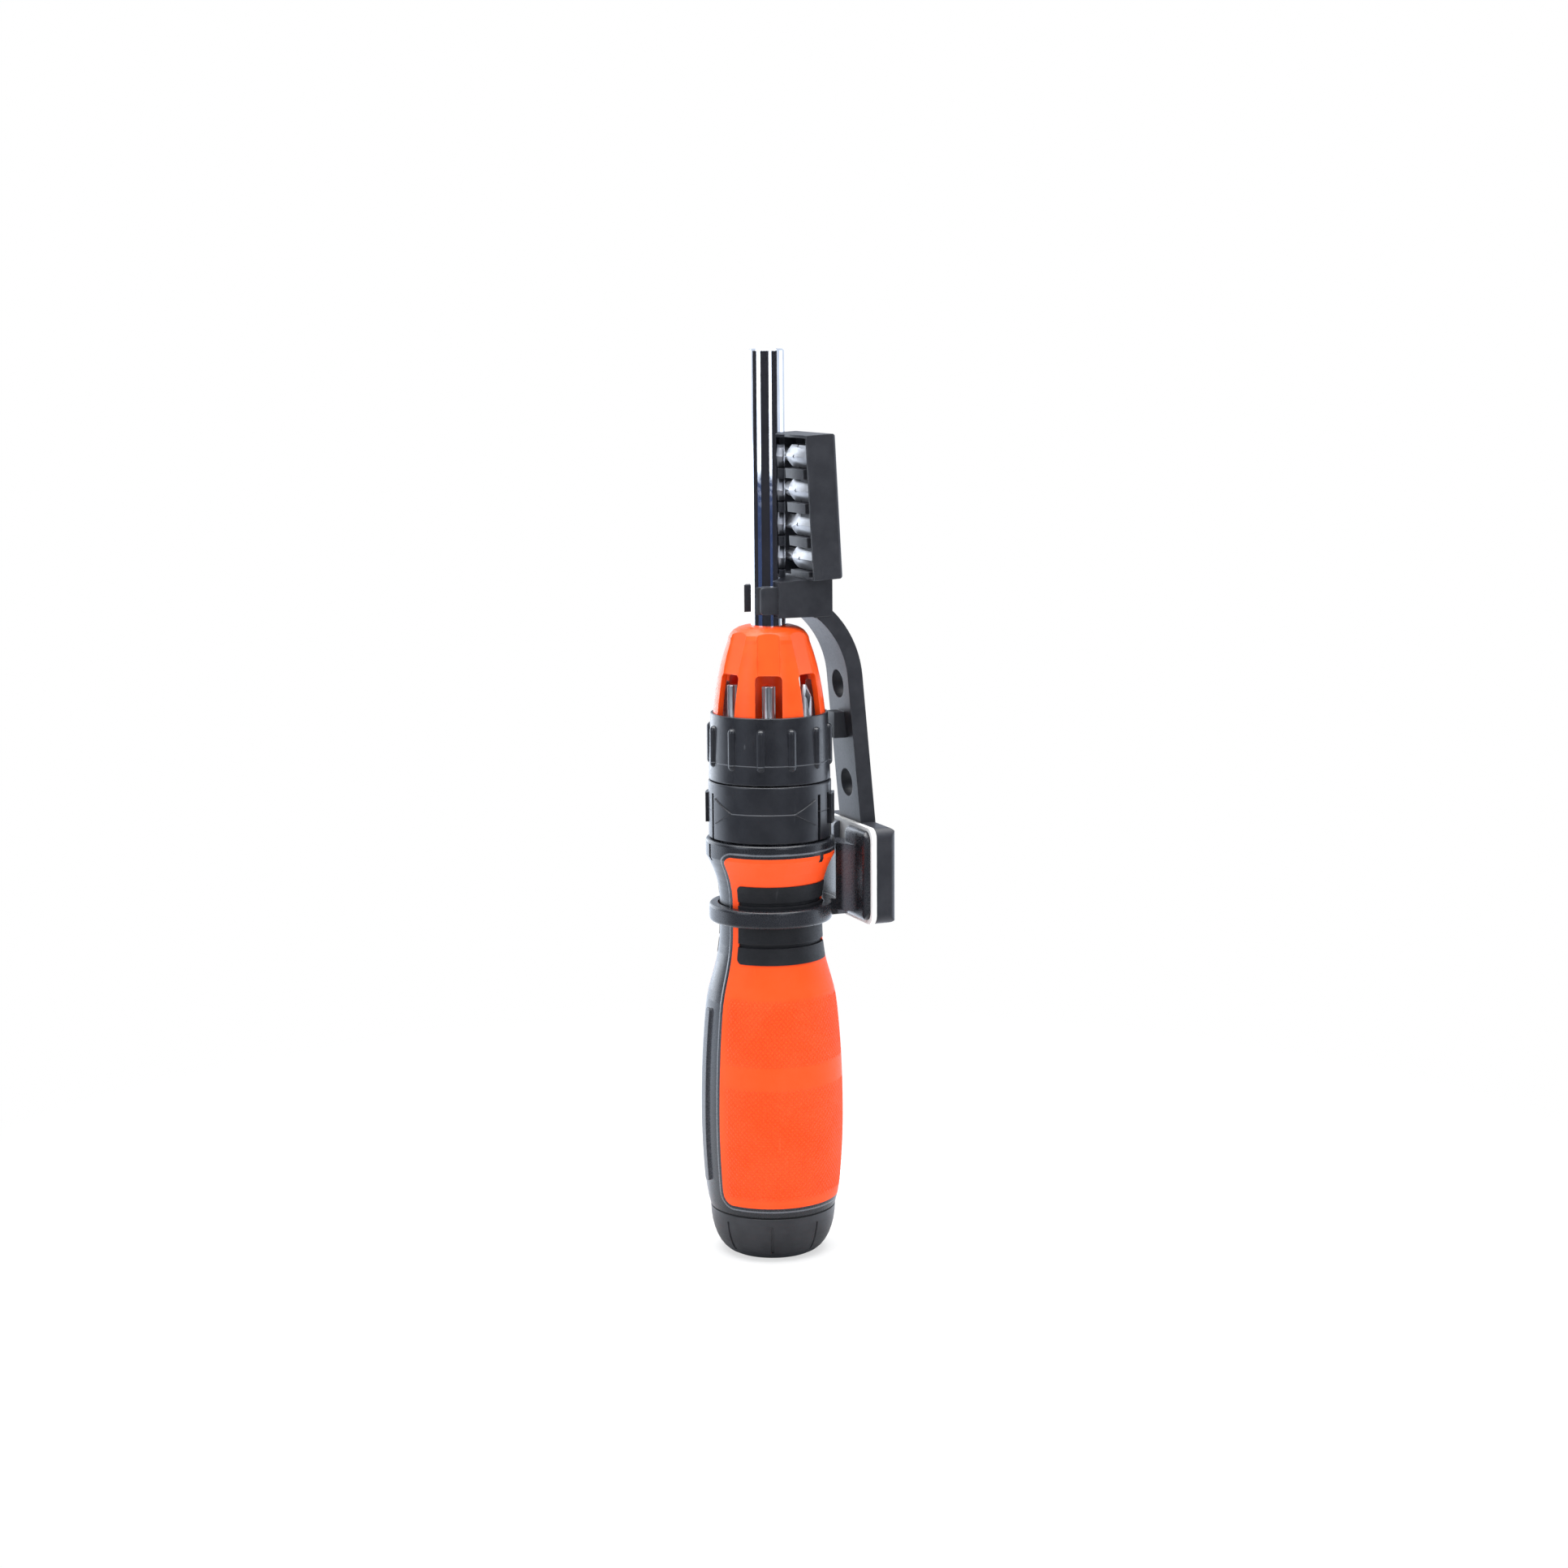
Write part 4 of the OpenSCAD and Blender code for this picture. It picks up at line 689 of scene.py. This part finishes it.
def gripMaterial():
    look = gripLook
    mat, tree, sockets = startMaterial("gripOrange", IOR=look["ior"], Specular_IOR_Level=look["gloss"])
    diamonds = useGroup(tree, diamondKnurl)
    grain = useGroup(tree, mouldedGrain, Grain=look["grain"], Cloud=look["cloud"])
    worn = useGroup(tree, handling, Scale=look["scratches"], Amount=look["handled"])["Mask"]
    # painted shade: the knurl's valleys are darkened towards the valley colour
    shadeInValleys = ramp(tree, diamonds["Valley"], 0.0, 1.0, 0.0, look["valleyShare"])
    dusty = ramp(tree, grain["Cloud"], 0.0, 1.0, 0.0, look["dustShare"])
    base = blendColour(tree, shadeInValleys, look["ridge"], look["valley"])
    base = blendColour(tree, dusty, base, look["dust"])
    base = blendColour(tree, worn, base, look["dust"])
    normal = bumpOn(tree, diamonds["Height"], look["knurlRise"], "knurl", grainBump(tree, grain, look))
    linkSurface(tree, sockets, base, grainRough(tree, grain, look), normal)
    return mat


metalWear = {"cloud": 150.0, "scratches": 900.0, "handled": 0.5}
metalLooks = {
    "chromeShaft": {
        "bright": (0.86, 0.87, 0.9), "dull": (0.74, 0.75, 0.79), "rough": (0.03, 0.07),
        "grain": 600.0, "bump": 0.006, "edge": 0.2,
    },
    "bitSteel": {
        "bright": (0.43, 0.43, 0.44), "dull": (0.34, 0.34, 0.35), "rough": (0.36, 0.46),
        "grain": 2600.0, "bump": 0.04, "edge": 0.15,
    },
    "plainSteel": {
        "bright": (0.6, 0.6, 0.62), "dull": (0.45, 0.45, 0.47), "rough": (0.25, 0.38),
        "grain": 900.0, "bump": 0.05, "edge": 0.15,
    },
    "bushBronze": {
        "bright": (0.66, 0.43, 0.2), "dull": (0.5, 0.3, 0.13), "rough": (0.32, 0.48),
        "grain": 1600.0, "bump": 0.1, "edge": 0.15,
    },
    "nickelMagnet": {
        "bright": (0.62, 0.6, 0.57), "dull": (0.5, 0.48, 0.46), "rough": (0.18, 0.3),
        "grain": 900.0, "bump": 0.03, "edge": 0.15,
    },
}


def metalMaterial(name, look):
    mat, tree, sockets = startMaterial(name, Metallic=1.0)
    grain = useGroup(tree, mouldedGrain, Grain=look["grain"], Cloud=metalWear["cloud"])
    worn = useGroup(tree, handling, Scale=metalWear["scratches"], Amount=metalWear["handled"])["Mask"]
    base = blendColour(tree, grain["Cloud"], look["bright"], look["dull"])
    base = blendColour(tree, worn, base, look["dull"])
    linkSurface(tree, sockets, base, grainRough(tree, grain, look), grainBump(tree, grain, look))
    return mat


metals = {name: metalMaterial(name, look) for name, look in metalLooks.items()}

cardLook = {
    "clean": (0.86, 0.86, 0.85), "grey": (0.78, 0.78, 0.78), "rough": (0.55, 0.7), "grain": 1400.0, "cloud": 220.0,
    "bump": 0.1, "edge": 0.3, "ior": 1.45,
}


def cardMaterial():
    look = cardLook
    mat, tree, sockets = startMaterial("cardWhite", IOR=look["ior"])
    grain = useGroup(tree, mouldedGrain, Grain=look["grain"], Cloud=look["cloud"])
    base = blendColour(tree, grain["Cloud"], look["clean"], look["grey"])
    linkSurface(tree, sockets, base, grainRough(tree, grain, look), grainBump(tree, grain, look))
    return mat


gripOrange = gripMaterial()
finishes = {
    "handle_core": plastics["handleBlack"], "end_cap": plastics["capBlack"],
    "front_grip": gripOrange, "rear_grip": gripOrange,
    "front_neck_pad": plastics["padRubber"], "rear_neck_pad": plastics["padRubber"],
    "selector_ring": plastics["selectorBlack"], "bit_magazine": plastics["collarBlack"],
    "nose_cone": plastics["coneOrange"], "shaft": metals["chromeShaft"],
    "carrier_spine": plastics["carrierBlack"], "bit_rack": plastics["rackBlack"],
    "neck_strap": plastics["strapBlack"], "label_card": cardMaterial(),
    "magazine_bits": metals["bitSteel"], "rack_bits": metals["bitSteel"],
    "lower_bush": metals["bushBronze"], "upper_bush": metals["bushBronze"], "thrust_washer": metals["bushBronze"],
    "bit_magnet": metals["nickelMagnet"],
}

for name, node in nodes.items():
    node.data.materials.clear()
    node.data.materials.append(finishes.get(name, metals["plainSteel"]))
print("materials placed on", len(nodes), "nodes")


# driver bits, modelled once for each kind and copied; lengths in millimetres
# neckTo: where the tip starts above the shank; over: how far the round blank stands past the hexagon's corners
# clear: how far a cutter stands past what it cuts

bit = {
    "flats": 6.35, "length": 25.0, "foot": 2.85, "chamfer": 0.9, "neck": 3.05, "neckLong": 1.4,
    "notchAt": 10.0, "notchDepth": 0.3, "notchWide": 1.3, "notchFlat": 0.2,
    "sides": 48, "over": 0.1, "clear": 1.0, "weld": 0.005, "smooth": 30.0,
    "star": {
        "tip": 1.9, "neckTo": 2.2, "end": 0.12,
        "flutes": 6, "first": 30.0, "fluteFrom": 2.6, "fluteFine": 0.02, "fluteWide": 0.62, "fluteAt": 2.02,
        "fluteSides": 20, "runOut": 3.4,
    },
    "cross": {
        "tip": 2.3, "neckTo": 1.8, "point": 0.75, "pointLong": 3.6, "end": 0.2,
        "flutes": 4, "first": 45.0, "fluteLong": 7.0, "fluteWide": 1.0, "fluteAt": 1.55, "fluteSides": 4,
        "lean": 9.0,
    },
    "blade": {"tip": 2.1, "neckTo": 1.8, "thick": 0.9, "taper": 0.2},
}


def selectOnly(piece):
    deselectAll()
    piece.select_set(True)
    bpy.context.view_layer.objects.active = piece


def applyPlace():
    bpy.ops.object.transform_apply(location=True, rotation=True, scale=True)


# a closed piece drawn up ring by ring, from [radius, height] in millimetres
def drawUp(name, rings, sides):
    deselectAll()
    radius, height = rings[0]
    bpy.ops.mesh.primitive_circle_add(
        vertices=sides, radius=radius * mm, fill_type="NGON", location=(0, 0, height * mm))
    piece = bpy.context.object
    piece.name = name
    bpy.ops.object.mode_set(mode="EDIT")
    bpy.ops.mesh.select_mode(type="FACE")
    bpy.ops.mesh.select_all(action="SELECT")
    for newRadius, newHeight in rings[1:]:
        bpy.ops.mesh.extrude_region_move(TRANSFORM_OT_translate={"value": (0, 0, (newHeight - height) * mm)})
        grow = newRadius / radius
        bpy.ops.transform.resize(value=(grow, grow, 1), center_override=(0, 0, newHeight * mm))
        radius, height = newRadius, newHeight
    bpy.ops.mesh.select_all(action="SELECT")
    bpy.ops.mesh.normals_make_consistent(inside=False)
    bpy.ops.object.mode_set(mode="OBJECT")
    applyPlace()
    return piece


def carve(piece, tool, how):
    selectOnly(piece)
    bpy.ops.object.modifier_add(type="BOOLEAN")
    step = piece.modifiers[-1]
    step.operation = how
    step.solver = "EXACT"
    step.object = tool
    bpy.ops.object.modifier_apply(modifier=step.name)
    selectOnly(tool)
    bpy.ops.object.delete()
    selectOnly(piece)


# tools that are set round the axis and joined into one cutter
def cutterRing(tool, count, first):
    for i in range(1, count):
        selectOnly(tool)
        bpy.ops.object.duplicate(linked=False)
        bpy.context.object.rotation_euler.z = math.radians(first + i * 360 / count)
        applyPlace()
        bpy.context.object.name = tool.name + "More%d" % i
    selectOnly(tool)
    tool.rotation_euler.z = math.radians(first)
    applyPlace()
    for other in bpy.data.objects:
        if other.name.startswith(tool.name + "More"):
            other.select_set(True)
    bpy.ops.object.join()
    return tool


def shankBlank(name, shank, tipRings):
    sides, clear = bit["sides"], bit["clear"]
    corner = bit["flats"] / math.sqrt(3)
    outer = corner + bit["over"]
    rings = [(bit["foot"], 0), (outer, bit["chamfer"]), (outer, shank - bit["neckLong"]), (bit["neck"], shank)]
    blank = drawUp(name, rings + tipRings, sides)
    carve(blank, drawUp("hexagon", [(corner, -clear), (corner, bit["length"] + clear)], 6), "INTERSECT")
    at, wide, flat = bit["notchAt"], bit["notchWide"], bit["notchFlat"]
    bottom, past = corner - bit["notchDepth"], outer + clear
    notch = [(past, at - wide), (bottom, at - flat), (bottom, at + flat), (past, at + wide)]
    groove = drawUp("groove", notch, sides)
    tall = wide - bit["over"]
    sleeve = drawUp("sleeve", [(past + clear, at - tall), (past + clear, at + tall)], sides)
    carve(sleeve, groove, "DIFFERENCE")
    carve(blank, sleeve, "DIFFERENCE")
    return blank


def cutFlutes(blank, look, rings, lean=0.0):
    flute = drawUp("flute", rings, look["fluteSides"])
    flute.location.x = look["fluteAt"] * mm
    flute.rotation_euler.y = math.radians(-lean)
    selectOnly(flute)
    applyPlace()
    carve(blank, cutterRing(flute, look["flutes"], look["first"]), "DIFFERENCE")


def starBit(name, shank):
    look, top = bit["star"], bit["length"]
    tip, end, wide = look["tip"], look["end"], look["fluteWide"]
    blank = shankBlank(name, shank, [(tip, shank + look["neckTo"]), (tip, top - end), (tip - end, top)])
    start = shank + look["fluteFrom"]
    full = start + look["runOut"]
    cutFlutes(blank, look, [(look["fluteFine"], start), (wide, full), (wide, top + bit["clear"])])
    return blank


def crossBit(name, shank):
    look, top = bit["cross"], bit["length"]
    tip, point, end, wide = look["tip"], look["point"], look["end"], look["fluteWide"]
    blank = shankBlank(name, shank, [
        (tip, shank + look["neckTo"]), (tip, top - look["pointLong"]), (point, top - end), (point - end, top)])
    cutFlutes(blank, look, [(wide, top - look["fluteLong"]), (wide, top + 2 * bit["clear"])], look["lean"])
    return blank


def bladeBit(name, shank):
    look, top = bit["blade"], bit["length"]
    blank = shankBlank(name, shank, [(look["tip"], shank + look["neckTo"]), (look["tip"], top)])
    bpy.ops.object.mode_set(mode="EDIT")
    for side in (-1, 1):
        bpy.ops.mesh.select_all(action="SELECT")
        bpy.ops.mesh.bisect(
            plane_co=(side * look["thick"] / 2 * mm, 0, top * mm), plane_no=(side, 0, look["taper"]),
            use_fill=True, clear_outer=True)
    bpy.ops.object.mode_set(mode="OBJECT")
    return blank


def finishBit(piece):
    selectOnly(piece)
    bpy.ops.object.mode_set(mode="EDIT")
    bpy.ops.mesh.select_all(action="SELECT")
    bpy.ops.mesh.remove_doubles(threshold=bit["weld"] * mm)
    bpy.ops.mesh.normals_make_consistent(inside=False)
    bpy.ops.object.mode_set(mode="OBJECT")
    bpy.ops.object.shade_smooth_by_angle(angle=math.radians(bit["smooth"]))
    piece.data.materials.clear()
    piece.data.materials.append(metals["bitSteel"])


makers = {"star": starBit, "cross": crossBit, "blade": bladeBit}


def modelBits(length, shank):
    models = {kind: make(kind + length, shank) for kind, make in makers.items()}
    for model in models.values():
        finishBit(model)
    return models


# a copy with its own mesh, its place put into the mesh
def copyBit(model, name, matrix):
    selectOnly(model)
    bpy.ops.object.duplicate(linked=False)
    piece = bpy.context.object
    piece.name = name
    piece.matrix_world = matrix
    applyPlace()
    return piece


def dropModels(models):
    for model in models.values():
        bpy.data.objects.remove(model)


def moved(x, y, z):
    return Matrix.Translation((x * mm, y * mm, z * mm))


def turned(degrees, axis):
    return Matrix.Rotation(math.radians(degrees), 4, axis)


# a ring of bits, each with a flat towards the next: its radius, and the angle of the first bit
magazine = {
    "at": 12.6, "first": -112.0, "turn": 30.0, "shank": 13.0,
    "kinds": ["star", "cross", "blade", "star", "cross", "blade", "star"],
}


def fillMagazine():
    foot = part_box("magazine_bits")[0][2]
    stand = moved(magazine["at"], 0, foot / mm) @ turned(magazine["turn"], "Z")
    models = modelBits("Short", magazine["shank"])
    for i, kind in enumerate(magazine["kinds"]):
        around = turned(magazine["first"] + i * 360 / len(magazine["kinds"]), "Z")
        piece = copyBit(models[kind], "magazineBit%d" % i, around @ stand)
        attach(piece, "output")
        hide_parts("magazine_bits")
    dropModels(models)


# bits across the rack, which leans towards the shaft; each has a corner towards the shaft
rack = {
    "footX": 8.6, "footZ": 196.2, "lean": 3.1, "bitX": 3.834, "low": 5.6, "pitch": 9.6, "turn": 30.0,
    "shank": 16.0,
    "kinds": ["star", "blade", "cross", "star"],
}


def fillRack():
    lean = moved(rack["footX"], 0, rack["footZ"]) @ turned(-rack["lean"], "Y")
    lie = turned(-90, "X") @ turned(rack["turn"], "Z")
    models = modelBits("Long", rack["shank"])
    for i, kind in enumerate(rack["kinds"]):
        spot = moved(rack["bitX"], -bit["length"] / 2, rack["low"] + i * rack["pitch"])
        piece = copyBit(models[kind], "rackBit%d" % i, lean @ spot @ lie)
        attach(piece, "carrier")
        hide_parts("rack_bits")
    dropModels(models)


fillMagazine()
fillRack()
print("bits in the magazine:", len(magazine["kinds"]), "and in the rack:", len(rack["kinds"]))


# the grips' knurl: little pyramids in two belts, on the same lattice as the grip's material
# half and sample are degrees to each side of a grip's middle, cells and middle count the lattice's cells
knurl = {
    "half": 60.0, "belts": ((19.6, 51.8), (58.6, 76.8)), "cells": 76, "middle": 32,
    "sunk": 0.06, "proud": 0.22, "thick": 0.5, "sample": 50.0,
}


# outer radius of a grip at each height of its mesh, in millimetres
def gripProfile(grip):
    rings = {}
    for vertex in grip.data.vertices:
        spot = grip.matrix_world @ vertex.co
        if math.degrees(math.atan2(abs(spot.x), abs(spot.y))) < knurl["sample"]:
            level = round(spot.z / mm, 2)
            rings[level] = max(rings.get(level, 0.0), math.hypot(spot.x, spot.y) / mm)
    return sorted(rings.items())


def radiusAt(profile, level):
    for (low, lowRadius), (high, highRadius) in zip(profile, profile[1:]):
        if low <= level <= high:
            return lowRadius + (highRadius - lowRadius) * (level - low) / (high - low)
    return profile[-1][1]


# angle in degrees and height in millimetres of a point of the lattice
def latticePlace(x, y):
    first, second = x + knurl["middle"], -y - knurl["middle"]
    angle = math.degrees((first + second) / 2 * lattice["across"] / lattice["roll"])
    return angle, (first - second) / 2 * lattice["along"]


def inBelt(angle, level):
    return abs(angle) < knurl["half"] and any(low < level < high for low, high in knurl["belts"])


def drawKnurl(name, grip, side):
    profile = gripProfile(grip)
    cells = knurl["cells"]
    deselectAll()
    bpy.ops.mesh.primitive_grid_add(x_subdivisions=cells, y_subdivisions=cells, size=cells, location=(0, 0, 0))
    piece = bpy.context.object
    piece.name = name
    mesh = piece.data
    outside = {face.index for face in mesh.polygons if not inBelt(*latticePlace(face.center.x, face.center.y))}
    for vertex in mesh.vertices:
        angle, level = latticePlace(round(vertex.co.x), round(vertex.co.y))
        radius = (radiusAt(profile, level) - knurl["sunk"]) * mm
        turn = math.radians(angle)
        vertex.co = (side * radius * math.sin(turn), -side * radius * math.cos(turn), level * mm)
    bpy.ops.object.mode_set(mode="EDIT")
    bpy.ops.mesh.select_mode(type="FACE")
    bpy.ops.object.mode_set(mode="OBJECT")
    for face in mesh.polygons:
        face.select = face.index in outside
    bpy.ops.object.mode_set(mode="EDIT")
    bpy.ops.mesh.delete(type="FACE")
    bpy.ops.mesh.select_all(action="SELECT")
    bpy.ops.mesh.poke(offset=knurl["proud"] * mm)
    bpy.ops.object.mode_set(mode="OBJECT")
    shell = piece.modifiers.new("shell", "SOLIDIFY")
    shell.thickness = knurl["thick"] * mm
    shell.offset = -1
    bpy.ops.object.modifier_apply(modifier="shell")
    piece.data.materials.append(gripOrange)
    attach(piece, "handle")


for name, node, side in (("frontKnurl", "front_grip", 1), ("rearKnurl", "rear_grip", -1)):
    drawKnurl(name, nodes[node], side)
print("knurl on both grips")
